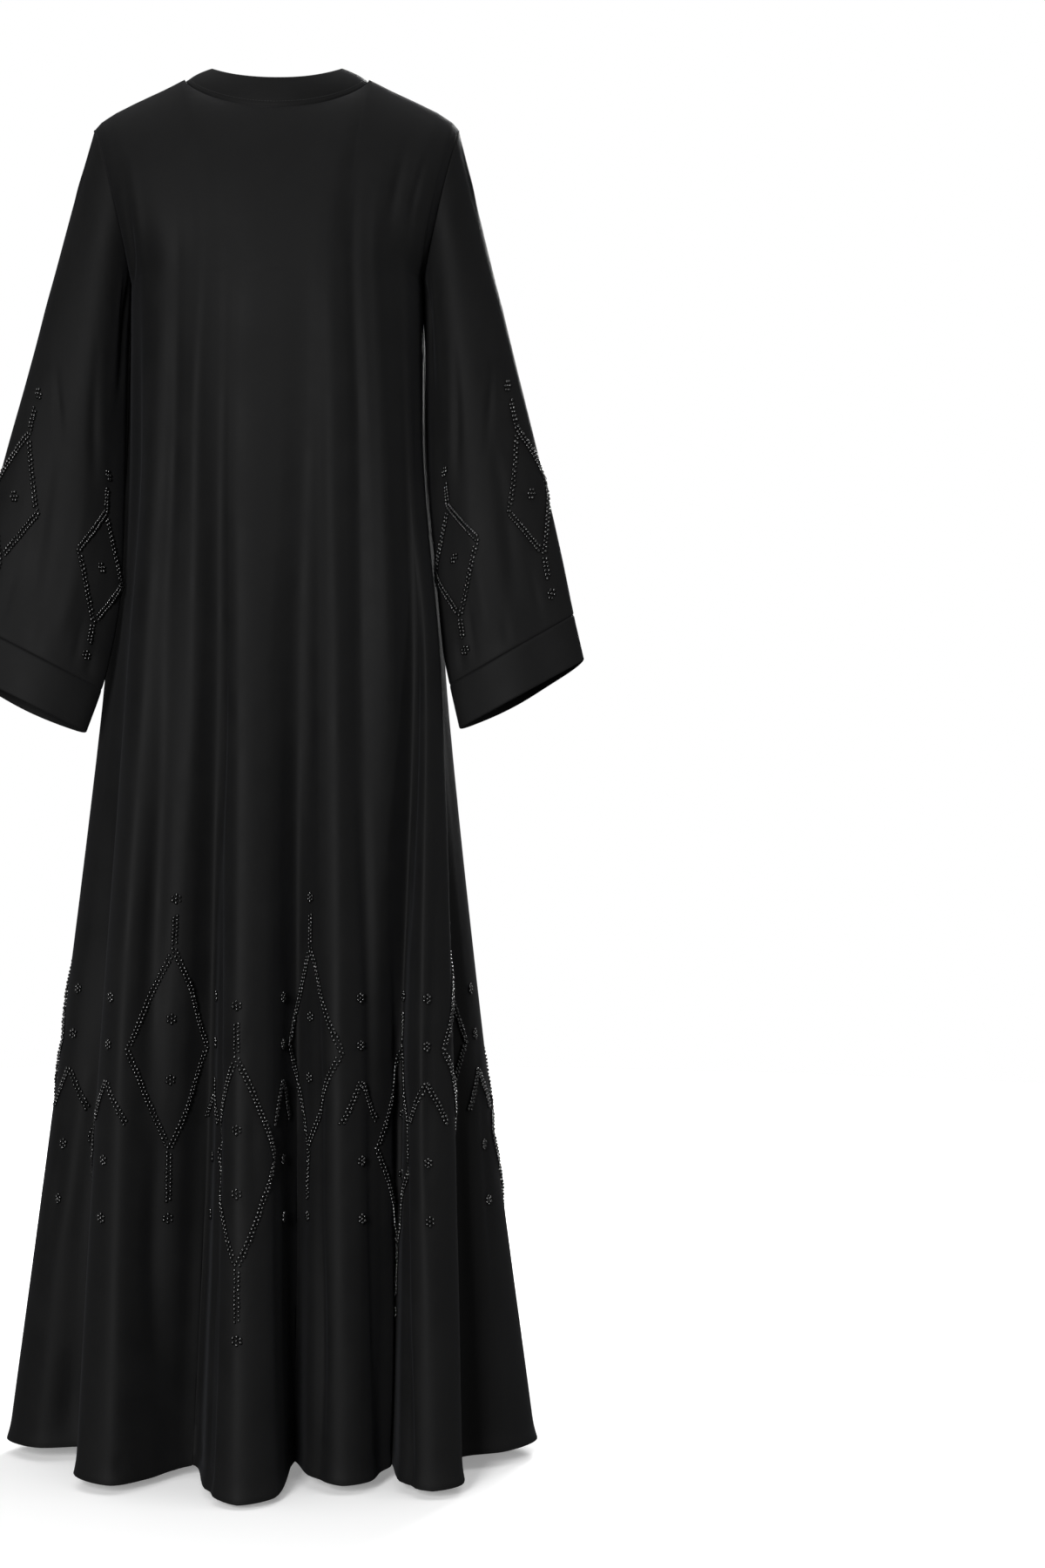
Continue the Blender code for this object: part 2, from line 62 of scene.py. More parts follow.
camera_data = bpy.data.cameras.new("studio_camera")
camera_data.lens = 65
camera_data.sensor_width = 36
camera_data.shift_x = (IMAGE_WIDTH / 2 - CENTRE_PIXEL) / IMAGE_HEIGHT
camera = bpy.data.objects.new("studio_camera", camera_data)
camera.location = (0, -CAMERA_DISTANCE, CAMERA_HEIGHT)
camera.rotation_euler = (math.radians(90), 0, 0)
bpy.context.scene.collection.objects.link(camera)
bpy.context.scene.camera = camera
print("camera shift:", round(camera_data.shift_x, 4))

# %% [markdown]
# ## The hang of the cloth
# Loose cloth that hangs from the shoulders falls in flutes: soft tubes that start as hints at
# the shoulder blades and open towards the hem. A cloth simulation gives flutes too, but not
# these ones. So each flute is drawn by fold lines. A fold line has a place across and a depth
# at five heights, and smooth curves join the lines sideways and the heights downwards.

# %% Sizes of the cut
MM = 0.001
UNDERARM_Z = -211 * MM
HEM_Z = -1400 * MM
HIGH_POINT_X = 95 * MM
SHOULDER_TIP_X = 188 * MM
UNDERARM_X = 150 * MM
NECK_FOLD_X = 75 * MM
NECK_BACK = (70 * MM, 41.6 * MM)
NECK_FRONT = (75 * MM, 85 * MM)
NECK_DROP_POWER = 0.65
BAND_TOP_SIDE = (68 * MM, 14 * MM)
BAND_TOP_BACK = (62 * MM, -10.6 * MM)
BAND_TOP_FRONT = (56 * MM, -61 * MM)
BAND_CROWN = 1.5 * MM
ARMHOLE_DEPTH = 58 * MM
ARMHOLE_BOW = 3 * MM
CHEST_DEPTH = 105 * MM
SHOULDER_FULLNESS = 2.2
NAPE_FULLNESS = 1.2
SECTION_Z = (-211, -380, -620, -1000, -1400)
print("from the high shoulder point to the hem:", round(-HEM_Z, 3), "m")

# %% Fold lines of the back
# Columns: name, (x at underarm, waist, hip, knee, hem), (how far back there), hem drop, in mm.
BACK_LINES = (
    ("side seam left", (-150, -155, -178, -224, -277), (0, -10, -6, 0, 0), 0),
    ("side panel left", (-147, -148, -166, -209, -246), (26, 22, 24, 34, 40), 0),
    ("recess left", (-140, -138, -153, -171, -190), (52, 50, 53, 50, 38), 0),
    ("flute 1 edge", (-133, -135, -150, -176, -196), (70, 70, 86, 118, 152), 2),
    ("flute 1 crest", (-117, -123, -134, -155, -162), (91, 96, 114, 149, 177), 5),
    ("flute 1 dip", (-98, -102, -111, -126, -127), (99, 104, 116, 136, 149), 5),
    ("flute 1 rise", (-75, -83, -84, -98, -104), (107, 115, 124, 128, 119), 4),
    ("valley A", (-54, -57, -59, -66, -82), (108, 111, 112, 100, 104), 2),
    ("flute 2 flank", (-43, -47, -48, -56, -64), (110, 115, 124, 148, 208), 6),
    ("flute 2 crest", (-31, -36, -37, -39, -38), (112, 118, 132, 178, 233), 10),
    ("flute 2 slope", (0, 2, -8, -9, -4), (112, 116, 128, 166, 213), 8),
    ("valley B", (30, 29, 21, 20, 17), (111, 112, 113, 100, 102), -3),
    ("flute 3 flank", (42, 42, 41, 40, 37), (111, 115, 126, 142, 163), 2),
    ("flute 3 crest", (54, 54, 59, 60, 64), (110, 118, 132, 156, 178), 5),
    ("flute 3 slope", (75, 81, 82, 88, 89), (103, 110, 118, 138, 165), 4),
    ("flute 3 rise", (99, 106, 111, 106, 101), (96, 104, 115, 119, 132), 2),
    ("valley C", (122, 128, 136, 124, 114), (80, 85, 91, 93, 106), -1),
    ("flute 4 flank", (130, 134, 142, 130, 125), (74, 80, 100, 131, 182), 4),
    ("flute 4 crest", (137, 139, 149, 142, 150), (64, 70, 106, 153, 195), 6),
    ("flute 4 edge", (145, 148, 165, 174, 178), (46, 50, 83, 124, 178), 4),
    ("recess right", (147, 149, 163, 173, 182), (32, 34, 56, 78, 84), 0),
    ("side panel right", (149, 151, 167, 199, 232), (16, 12, 24, 46, 56), 0),
    ("side seam right", (150, 156, 175, 215, 267), (0, -10, -6, 0, 0), 0),
)
print("fold lines of the back:", len(BACK_LINES))

# %% Fold lines of the fronts
# The same for the fronts, from the side seam to the front edge, but how far forward.
FRONT_RIGHT_LINES = (
    ("side panel", (148, 171, 175, 205, 247), (30, 38, 40, 46, 44), 0),
    ("recess", (144, 158, 162, 180, 206), (54, 62, 66, 68, 62), 0),
    ("flute 5 edge", (134, 137, 150, 178, 210), (72, 74, 84, 108, 126), 2),
    ("flute 5 crest", (120, 125, 136, 158, 184), (88, 94, 108, 142, 172), 5),
    ("flute 5 slope", (100, 106, 113, 129, 148), (102, 107, 116, 136, 154), 3),
    ("valley D", (86, 90, 93, 101, 114), (108, 110, 114, 120, 124), -2),
    ("flute 6 crest", (75, 76, 77, 80, 86), (112, 116, 128, 158, 188), 5),
    ("flute 6 slope", (58, 58, 59, 60, 64), (117, 121, 130, 154, 176), 4),
    ("valley E", (40, 40, 41, 43, 46), (121, 123, 126, 131, 134), -2),
    ("front fold", (20, 20, 20, 21, 22), (123, 127, 135, 150, 164), 3),
    ("front edge", (1.6, 1.7, 1.9, 2.2, 2.5), (124, 128, 136, 150, 164), 2),
)
FRONT_LEFT_LINES = (
    ("side panel", (-148, -170, -178, -212, -254), (30, 38, 40, 44, 44), 0),
    ("recess", (-144, -158, -165, -188, -214), (54, 62, 66, 68, 62), 0),
    ("flute 8 edge", (-134, -137, -155, -183, -215), (72, 74, 84, 106, 128), 2),
    ("flute 8 crest", (-119, -123, -138, -160, -189), (89, 94, 106, 138, 168), 5),
    ("flute 8 slope", (-99, -103, -111, -126, -148), (103, 107, 115, 132, 150), 3),
    ("valley F", (-88, -90, -94, -101, -112), (108, 110, 113, 118, 120), -2),
    ("flute 9 crest", (-75, -76, -77, -80, -88), (112, 117, 129, 160, 190), 6),
    ("flute 9 slope", (-57, -57, -58, -60, -65), (117, 121, 130, 152, 172), 4),
    ("valley G", (-40, -40, -41, -42, -44), (121, 123, 126, 130, 132), -2),
    ("front fold", (-20, -20, -20, -21, -22), (123, 127, 135, 151, 166), 3),
    ("front edge", (-1.6, -1.7, -1.9, -2.2, -2.5), (124, 128, 136, 150, 164), 2),
)
# The shoulder seam from the neck to the tip. Columns: x, z, in mm.
SHOULDER_LINE = ((95, 0), (117, -11), (142, -22.5), (166, -34), (181, -43.5), (188, -51))
print("fold lines of the fronts:", len(FRONT_LEFT_LINES) + len(FRONT_RIGHT_LINES))


# %% Curves through the fold lines
def unit(vectors):
    length = np.linalg.norm(vectors, axis=-1, keepdims=True)
    return vectors / np.maximum(length, 1e-12)


def smooth_through(places, values, wanted):
    """A smooth curve through the values that never swings past them."""
    places = np.asarray(places, float)
    values = np.asarray(values, float)
    gaps = np.diff(places)
    slopes = np.diff(values, axis=0) / gaps.reshape((-1,) + (1,) * (values.ndim - 1))
    tangents = np.empty_like(values)
    tangents[0] = slopes[0]
    tangents[-1] = slopes[-1]
    before = slopes[:-1]
    after = slopes[1:]
    same_way = before * after > 0
    total = np.where(same_way, before + after, 1.0)
    tangents[1:-1] = np.where(same_way, 2.0 * before * after / total, 0.0)
    span = int(np.clip(np.searchsorted(places, wanted) - 1, 0, len(gaps) - 1))
    share = (wanted - places[span]) / gaps[span]
    return (
        values[span] * (1 + 2 * share) * (1 - share) ** 2
        + tangents[span] * gaps[span] * share * (1 - share) ** 2
        + values[span + 1] * share**2 * (3 - 2 * share)
        + tangents[span + 1] * gaps[span] * share**2 * (share - 1)
    )


def chain_of_lines():
    """All fold lines once round, from the left front edge by the back to the right front edge."""
    places = []
    drops = []
    for rows, way in (
        (FRONT_LEFT_LINES[::-1], 1),
        (BACK_LINES, -1),
        (FRONT_RIGHT_LINES, 1),
    ):
        for _, across, out, drop in rows:
            places.append([(x, way * y) for x, y in zip(across, out)])
            drops.append(drop)
    return np.array(places, float) * MM, np.array(drops, float) * MM


LINES, HEM_DROPS = chain_of_lines()
SIDE_LEFT = len(FRONT_LEFT_LINES)
SIDE_RIGHT = SIDE_LEFT + len(BACK_LINES) - 1
LAST_LINE = len(LINES) - 1
STATIONS = -np.array(SECTION_Z, float) * MM
print("fold lines once round:", len(LINES))


# %% A section at any height
def through_lines(values, columns):
    """A curve through one point per fold line, at places counted in fold lines."""
    gaps = np.sqrt(np.linalg.norm(np.diff(values, axis=0), axis=1))
    slopes = np.diff(values, axis=0) / gaps[:, None]
    tangents = np.empty_like(values)
    tangents[0] = slopes[0]
    tangents[-1] = slopes[-1]
    weight = gaps[1:, None] + gaps[:-1, None]
    tangents[1:-1] = (slopes[:-1] * gaps[1:, None] + slopes[1:] * gaps[:-1, None]) / weight
    span = np.clip(np.floor(columns).astype(int), 0, len(gaps) - 1)
    share = (columns - span)[:, None]
    reach = gaps[span][:, None]
    return (
        values[span] * (1 + 2 * share) * (1 - share) ** 2
        + tangents[span] * reach * share * (1 - share) ** 2
        + values[span + 1] * share**2 * (3 - 2 * share)
        + tangents[span + 1] * reach * share**2 * (share - 1)
    )


def along_section(z, columns):
    """Points of the section at height z, at places counted in fold lines."""
    knots = smooth_through(STATIONS, np.swapaxes(LINES, 0, 1), -z)
    flat = through_lines(knots, columns)
    down = (UNDERARM_Z - z) / (UNDERARM_Z - HEM_Z)
    drop = np.interp(columns, np.arange(len(HEM_DROPS)), HEM_DROPS)
    return np.column_stack([flat, z - drop * down**2])


hem_run = along_section(HEM_Z, np.linspace(0, LAST_LINE, 900))
hem_round = np.linalg.norm(np.diff(hem_run, axis=0), axis=1).sum()
print("cloth round the hem:", round(float(hem_round), 3), "m")

# %% [markdown]
# ## The yoke
# Above the underarm the cloth narrows to the shoulder seams, the armholes and the neck. Each
# column of the skirt runs on upwards and ends on one of them, so the folds fade out by
# themselves. A grid built point by point is better here than a sculpted surface, because the
# panels then meet exactly along their seams.


# %% Shape above the underarm
YOKE_SPREAD = (1.6, 0.6)  # how early the columns spread out on their way up
YOKE_SOFTENING = 3  # how much the armhole's hollow is held back low down, away from the arm


def neck_place(share, depth, drop, half_width, side_z):
    """A point of a neck curve: share is -1 and 1 at the high points and 0 at the middle."""
    across = 0.5 * share + 0.5 * np.sin(share * np.pi / 2)
    left = np.clip(1 - across**2, 0, 1)
    x = half_width * across
    y = depth * np.sqrt(left)
    z = side_z - drop * left**NECK_DROP_POWER
    return np.stack([x, y, z], axis=-1)


def top_edge(base, way):
    """Where each column ends above: on the shoulder seam or on the neck seam."""
    x = base[:, 0]
    share = np.clip(x / NECK_FOLD_X, -1, 1)
    depth, drop = NECK_BACK if way < 0 else NECK_FRONT
    edge = neck_place(share, way * depth, drop, HIGH_POINT_X, 0.0)
    seam_x = np.array([point[0] for point in SHOULDER_LINE]) * MM
    seam_z = np.array([point[1] for point in SHOULDER_LINE]) * MM
    outside = np.abs(x) > NECK_FOLD_X
    scale = (SHOULDER_TIP_X - HIGH_POINT_X) / (UNDERARM_X - NECK_FOLD_X)
    reach = HIGH_POINT_X + (np.abs(x) - NECK_FOLD_X) * scale
    edge[outside, 0] = (np.sign(x) * reach)[outside]
    edge[outside, 1] = 0.0
    edge[outside, 2] = np.interp(reach, seam_x, seam_z)[outside]
    return edge


def yoke_row(base, slopes, way, v):
    """One row above the underarm, at a share of the height. slopes carry the skirt's lean on."""
    edge = top_edge(base, way)
    height = (edge[:, 2] - base[:, 2])[:, None]
    beside_arm = np.clip(1 - np.abs(base[:, 1]) / CHEST_DEPTH, 0, 1)
    near_neck = np.clip(np.abs(edge[:, 1]) / NECK_BACK[0], 0, 1)
    power = SHOULDER_FULLNESS + (NAPE_FULLNESS - SHOULDER_FULLNESS) * near_neck
    fall = np.clip(1 - v**SHOULDER_FULLNESS, 0, 1) ** (1 / power)
    round_arm = 2 * np.sqrt(np.clip(v * (1 - v), 0, 1))
    run_on = slopes * height * v * (1 - v) ** 2 * (1 - beside_arm[:, None] ** 2)
    y = edge[:, 1] + (base[:, 1] - edge[:, 1]) * fall + run_on[:, 1]
    soften = YOKE_SOFTENING * (1 - beside_arm) * max(0.0, 1 - 2 * v) ** 2
    y = y + way * ARMHOLE_DEPTH * beside_arm * round_arm ** (1 + soften)
    straight = beside_arm**2
    early, late = YOKE_SPREAD
    across = v * straight + v * v * (early - late * v) * (1 - straight)
    x = base[:, 0] + (edge[:, 0] - base[:, 0]) * across + run_on[:, 0]
    x = x - np.sign(x) * ARMHOLE_BOW * beside_arm * 4 * v * (1 - v)
    z = base[:, 2] + (edge[:, 2] - base[:, 2]) * v
    return np.column_stack([x, y, z])


print("armholes, front to back:", round(2 * ARMHOLE_DEPTH, 3), "m")

# %% Body panels as grids
SKIRT_ROWS = 208
YOKE_ROWS = 72
STEPS_PER_FOLD = 10
BESIDE_SEAM = (0.023, 0.05, 0.085, 0.135)  # extra columns, so that a seam can sink in sharply


def panel_columns(first, last, seams):
    """Columns of a panel, in fold lines, closer together beside its side seams."""
    places = list(np.linspace(first, last, (last - first) * STEPS_PER_FOLD + 1))
    for seam in seams:
        inwards = 1 if seam == first else -1
        places += [seam + inwards * step for step in BESIDE_SEAM]
    return np.sort(places)


def panel_grid(columns, way):
    """A body panel, rows from the hem up."""
    heights = np.linspace(HEM_Z, UNDERARM_Z, SKIRT_ROWS + 1)
    rows = [along_section(z, columns) for z in heights[:-1]]
    base = along_section(UNDERARM_Z, columns)
    slopes = (base - along_section(UNDERARM_Z - MM, columns)) / MM
    for v in (1 - np.cos(np.pi * np.arange(YOKE_ROWS + 1) / YOKE_ROWS)) / 2:
        rows.append(yoke_row(base, slopes, way, v))
    return np.array(rows)


columns = {
    "front_left": panel_columns(0, SIDE_LEFT, (SIDE_LEFT,)),
    "back": panel_columns(SIDE_LEFT, SIDE_RIGHT, (SIDE_LEFT, SIDE_RIGHT)),
    "front_right": panel_columns(SIDE_RIGHT, LAST_LINE, (SIDE_RIGHT,)),
}
grids = {name: panel_grid(places, -1 if name == "back" else 1) for name, places in columns.items()}
for name, grid in grids.items():
    print(name, "grid:", grid.shape[0], "rows,", grid.shape[1], "columns")

# %% [markdown]
# ## The sleeves
# A sleeve is a tube of cloth over an arm that isn't there: flat front to back, wider at the
# cuff, with a fold at the underarm. It could be a curve with a bevel, but its two edges run at
# different angles. So it is lofted through eight stations, and the soft folds that run down it
# are swells round each ring.

# %% Sleeve tables
# Columns, mm: name, upper edge (x out, z), underarm edge (x out, z), centre y, half depth, drop.
SLEEVE_RIGHT = (
    ("armhole", (188, -51), (150, -211), 0, 58, 0),
    ("upper arm", (201, -108), (152.5, -262), -5, 54, 0),
    ("above elbow", (222, -198), (154, -335), -13, 49, 0),
    ("elbow", (247, -304), (156, -430), -25, 43, 0),
    ("forearm", (273, -415), (162, -510), -36, 37, 2),
    ("wrist", (292, -503), (169, -590), -44, 33, 5),
    ("cuff seam", (302, -553), (175.5, -624), -47, 31, 7),
    ("cuff edge", (312, -598), (185, -667), -50, 30, 9),
)
SLEEVE_LEFT = (
    ("armhole", (188, -51), (150, -211), 0, 58, 0),
    ("upper arm", (205, -112), (152.5, -265), -5, 54, 0),
    ("above elbow", (228, -200), (154, -336), -13, 49, 0),
    ("elbow", (256, -310), (155.5, -430), -25, 43, 0),
    ("forearm", (284, -415), (158, -520), -36, 37, 2),
    ("wrist", (306, -510), (169, -595), -44, 33, 5),
    ("cuff seam", (318, -558), (178, -629), -47, 31, 7),
    ("cuff edge", (329, -604), (193, -671), -50, 30, 9),
)
# Columns: name, place round (degrees from the underarm, back positive), half width in degrees,
# height at the armhole and at the cuff, mm.
SLEEVE_FOLDS = (
    ("back underarm crease", 38, 22, -5, -1.5),
    ("back elbow ridge", 78, 30, 1, 3),
    ("back outer trough", 118, 24, 0, -3),
    ("front underarm crease", -42, 24, -5, -2),
    ("front elbow ridge", -86, 30, 1, 3),
    ("front outer trough", -124, 26, 0, -3),
)
SLEEVE_ROWS = 140
CUFF_ROWS = 26
RING_TURNS = np.concatenate(
    [180.0 * np.arange(YOKE_ROWS + 1) / YOKE_ROWS, -180.0 * np.arange(YOKE_ROWS - 1, 0, -1) / YOKE_ROWS]
)
FOLDS_START = 0.15  # the share of the sleeve over which its folds come up
FOLD_TIGHTNESS = 1.5
print("sleeve stations:", len(SLEEVE_RIGHT), "folds:", len(SLEEVE_FOLDS))


# %% Sleeve shape
def sleeve_swell(along, turns):
    """How far the soft folds stand out. They start from nothing at the armhole seam."""
    start = np.clip(along / FOLDS_START, 0, 1)
    start = start * start * (3 - 2 * start)
    swell = np.zeros(len(turns))
    for _, place, half_width, at_arm, at_cuff in SLEEVE_FOLDS:
        away = (turns - place + 180) % 360 - 180
        bell = np.exp(-((away / half_width) ** 2) * FOLD_TIGHTNESS)
        swell += start * (at_arm + (at_cuff - at_arm) * along) * MM * bell
    return swell


def sleeve_ring(table, place, side):
    """One ring at a place counted in stations, in RING_TURNS order."""
    numbers = [(*upper, *under, y, depth, drop) for _, upper, under, y, depth, drop in table]
    sizes = smooth_through(np.arange(len(table)), np.array(numbers, float) * MM, place)
    upper = np.array([side * sizes[0], sizes[4], sizes[1]])
    under = np.array([side * sizes[2], sizes[4], sizes[3]])
    turn = np.radians(RING_TURNS)
    v = (1 - np.cos(turn)) / 2
    ring = under + (upper - under) * v[:, None]
    ring[:, 1] -= sizes[5] * np.sin(turn)
    ring[:, 2] -= sizes[6] * np.clip(-np.sin(turn), 0, 1)
    ring[:, 0] -= side * ARMHOLE_BOW * max(0.0, 1 - place) * 4 * v * (1 - v)
    swell = sleeve_swell(place / (len(table) - 1), RING_TURNS)
    return ring + unit(ring - (upper + under) / 2) * swell[:, None]


def sleeve_grid(table, first, last, side, rows):
    """Rings as rows, from the cuff up to the armhole."""
    places = np.linspace(last, first, rows + 1)
    return np.array([sleeve_ring(table, place, side) for place in places])


CUFF_SEAM = len(SLEEVE_RIGHT) - 2
for side, word, table in ((-1, "left", SLEEVE_LEFT), (1, "right", SLEEVE_RIGHT)):
    grids["sleeve_" + word] = sleeve_grid(table, 0, CUFF_SEAM, side, SLEEVE_ROWS)
    grids["cuff_" + word] = sleeve_grid(table, CUFF_SEAM, CUFF_SEAM + 1, side, CUFF_ROWS)
sleeve_back = grids["sleeve_left"][:, YOKE_ROWS // 2]
print("sleeve length:", round(float(np.linalg.norm(sleeve_back[0] - sleeve_back[-1])), 3), "m")

# %% [markdown]
# ## The neck band
# The collar is a low standing band, cut double and slightly curved so that it leans in to the
# neck. It grows out of the panels' own top points, so that it follows the neckline exactly.

# %% Shape of the neck band
BAND_SHARES = (0, 0.012, 0.03, 0.055, 0.09, 0.15, 0.24, 0.34, 0.45, 0.56, 0.67, 0.78, 0.9, 0.96, 1)


def neck_band_grid():
    """Rows from the neck seam up, and for each column the panels and columns it grows from."""
    lower = []
    upper = []
    owners = []
    for name, way in (("front_left", 1), ("back", -1), ("front_right", 1)):
        grid = grids[name]
        share = grid[SKIRT_ROWS, :, 0] / NECK_FOLD_X
        keep = np.where(np.abs(share) <= 1 + 1e-6)[0]
        top_depth, top_z = BAND_TOP_BACK if way < 0 else BAND_TOP_FRONT
        side_x, side_z = BAND_TOP_SIDE
        share = np.clip(share, -1, 1)
        above = neck_place(share[keep], way * top_depth, side_z - top_z, side_x, side_z)
        for j, point in zip(keep, above):
            new_panel = owners and owners[-1][0][0] != name
            if new_panel and np.linalg.norm(grid[-1, j] - lower[-1]) < 0.2 * MM:
                owners[-1].append((name, j))
                continue
            lower.append(grid[-1, j])
            upper.append(point)
            owners.append([(name, j)])
    if len(lower) % 2 == 0:
        middle = len(lower) // 2
        lower.insert(middle, (lower[middle - 1] + lower[middle]) / 2)
        upper.insert(middle, (upper[middle - 1] + upper[middle]) / 2)
        owners.insert(middle, owners[middle][:1])
    lower = np.array(lower)
    upper = np.array(upper)
    outwards = unit(np.cross(np.gradient(lower, axis=0), unit(upper - lower)))
    outwards *= np.sign(np.sum(outwards * (lower - (0, 0, -0.02)), axis=1).mean())
    rows = [lower + (upper - lower) * s + outwards * BAND_CROWN * 4 * s * (1 - s) for s in BAND_SHARES]
    return np.array(rows), owners


grids["neck_band"], band_owners = neck_band_grid()
print("neck band columns:", grids["neck_band"].shape[1])

# %% [markdown]
# ## Which way is out
# Seams only look sewn if both edges sink together. So the pieces that meet at a seam share one
# direction for "out" along it, and everything that raises or sinks the cloth moves along that
# direction.

# %% Directions out of the cloth, shared at the seams
TUBES = ("sleeve_left", "sleeve_right", "cuff_left", "cuff_right")
BACK_TURNS = list(range(YOKE_ROWS + 1))
FRONT_TURNS = [0] + list(range(2 * YOKE_ROWS - 1, YOKE_ROWS, -1)) + [YOKE_ROWS]
ARMHOLE_LEAN = (0, 0, -0.15)  # an armhole seam faces a little downwards


def grid_normals(grid, wrap):
    """The directions square to a grid, on its outer side."""
    if wrap:
        over = np.roll(grid, -1, axis=1) - np.roll(grid, 1, axis=1)
        heart = grid.mean(axis=1, keepdims=True)
    else:
        over = np.gradient(grid, axis=1)
        heart = grid * np.array([0, 0, 1])
    normals = unit(np.cross(unit(over), unit(np.gradient(grid, axis=0))))
    return normals * np.sign(np.sum(normals * (grid - heart)))


def shoulder_normals(edge):
    """Square to a shoulder seam, in the plane of the seam."""
    run = np.gradient(edge, axis=0)
    square = unit(np.column_stack([-run[:, 2], np.zeros(len(run)), run[:, 0]]))
    return square * np.where(square[:, 2:] < 0, -1.0, 1.0)


print("points round an armhole:", len(BACK_TURNS) + len(FRONT_TURNS) - 2)


# %% One direction for both edges of a seam
def share_direction(normals, one, one_at, other, other_at, lean=(0, 0, 0)):
    """Both edges of a seam get the middle of their two directions."""
    middle = unit(normals[one][one_at] + normals[other][other_at] + np.array(lean))
    normals[one][one_at] = middle
    normals[other][other_at] = middle


def outward_normals():
    """Directions out for every grid, alike on the two edges of each seam."""
    normals = {name: grid_normals(grid, name in TUBES) for name, grid in grids.items()}
    below = slice(0, SKIRT_ROWS + 1)
    beside = slice(SKIRT_ROWS, None)
    share_direction(normals, "front_left", (below, -1), "back", (below, 0))
    share_direction(normals, "back", (below, -1), "front_right", (below, 0))
    for name in ("front_left", "back", "front_right"):
        grid = grids[name]
        reach = np.abs(grid[SKIRT_ROWS, :, 0])
        on_seam = (reach >= NECK_FOLD_X - 1e-9) & (reach < UNDERARM_X - 1 * MM)
        normals[name][-1, on_seam] = shoulder_normals(grid[-1])[on_seam]
    for word, back_edge, front_edge in (("left", 0, -1), ("right", -1, 0)):
        sleeve = "sleeve_" + word
        share_direction(normals, "back", (beside, back_edge), sleeve, (-1, BACK_TURNS), ARMHOLE_LEAN)
        front = "front_" + word
        share_direction(normals, front, (beside, front_edge), sleeve, (-1, FRONT_TURNS), ARMHOLE_LEAN)
        normals["back"][beside, back_edge] = normals[sleeve][-1, BACK_TURNS]
        share_direction(normals, sleeve, (0, slice(None)), "cuff_" + word, (-1, slice(None)))
    for k, shared_by in enumerate(band_owners):
        directions = [normals[name][-1, j] for name, j in shared_by]
        middle = unit(normals["neck_band"][0, k] + np.sum(directions, axis=0))
        normals["neck_band"][0, k] = middle
        for name, j in shared_by:
            normals[name][-1, j] = middle
    return normals


normals = outward_normals()
print("directions for", len(normals), "cloth pieces")


# %% Lengths measured along the cloth
def along_rows(grid):
    """How far each point lies along its row, in metres."""
    steps = np.linalg.norm(np.diff(grid, axis=1), axis=2)
    return np.pad(np.cumsum(steps, axis=1), ((0, 0), (1, 0)))


def up_columns(grid):
    """How far each point lies up its column, in metres."""
    steps = np.linalg.norm(np.diff(grid, axis=0), axis=2)
    return np.pad(np.cumsum(steps, axis=0), ((1, 0), (0, 0)))


across = {name: along_rows(grid) for name, grid in grids.items()}
upwards = {name: up_columns(grid) for name, grid in grids.items()}
print("back, nape to hem:", round(float(upwards["back"][-1, across["back"].shape[1] // 2]), 3), "m")

# %% [markdown]
# ## Drawing the beadwork
# The beads are round black glass, just under four millimetres across, couched down in double
# rows. The drawing here is a plain traditional frieze: a chain of tall lozenges round the skirt
# and the sleeves, each with two stems and rosettes. Texture can't give beads that catch the
# light, so the drawing places real ones. It is laid out flat in millimetres and then wrapped on
# the cloth by its own lengths, so the rows stay even over the folds.

# %% Bead motifs, flat
BEAD = 3.8 * MM
BEAD_PITCH = 3.95 * MM
ROW_APART = 1.8 * MM
CLEARANCE = 0.84 * BEAD
ROSETTE_SPACING = 1.03 * BEAD
# Each lozenge motif, in mm: half width and height, where its two stems end, rosettes' heights.
SKIRT_MOTIF = ((46, 98), (-150, 132), (148, 30, -30, -166))
SLEEVE_MOTIF = ((31, 62), (-86, 88), (102, 0, -100))
# The small motif between two lozenges: a chevron's three points and rosettes' heights.
GAP_MOTIF = (((-24, -26), (0, 16), (24, -26)), (96, 50, -62, -118))


def double_row(path):
    """Two staggered rows of beads along a path of points (across, up) in metres."""
    beads = []
    for start, end in zip(path[:-1], path[1:]):
        run = np.subtract(end, start)
        length = np.hypot(*run)
        side = np.array([-run[1], run[0]]) / length * ROW_APART
        count = round(length / BEAD_PITCH)
        for k in range(count):
            beads.append(start + run * (k + 0.25) / count + side)
            beads.append(start + run * (k + 0.75) / count - side)
    return beads


def rosette(middle):
    """Seven beads: one with six round it."""
    ring = [(math.cos(a), math.sin(a)) for a in np.radians(np.arange(30, 390, 60))]
    return [np.array(middle)] + [np.array(middle) + ROSETTE_SPACING * np.array(p) for p in ring]


def thinned(beads):
    """Beads that would lie on each other at corners and crossings are left out."""
    kept = []
    for bead in beads:
        if all(np.hypot(*(bead - other)) > CLEARANCE for other in kept):
            kept.append(bead)
    return kept


print("a line of beads lies", 2 * ROW_APART / MM, "mm across, from middle to middle")


# %% Draw the motifs
def draw_motif(paths, rosette_heights):
    """Double rows along paths drawn in millimetres, with rosettes up the middle."""
    beads = []
    for path in paths:
        beads += double_row([np.array(point) * MM for point in path])
    for up in rosette_heights:
        beads += rosette((0, up * MM))
    return thinned(beads)


def lozenge_motif(half_sizes, stem_ends, rosette_heights):
    wide, high = half_sizes
    corners = ((0, high), (wide, 0), (0, -high), (-wide, 0), (0, high))
    stems = [((0, -high), (0, stem_ends[0])), ((0, high), (0, stem_ends[1]))]
    return draw_motif([corners] + stems, rosette_heights)


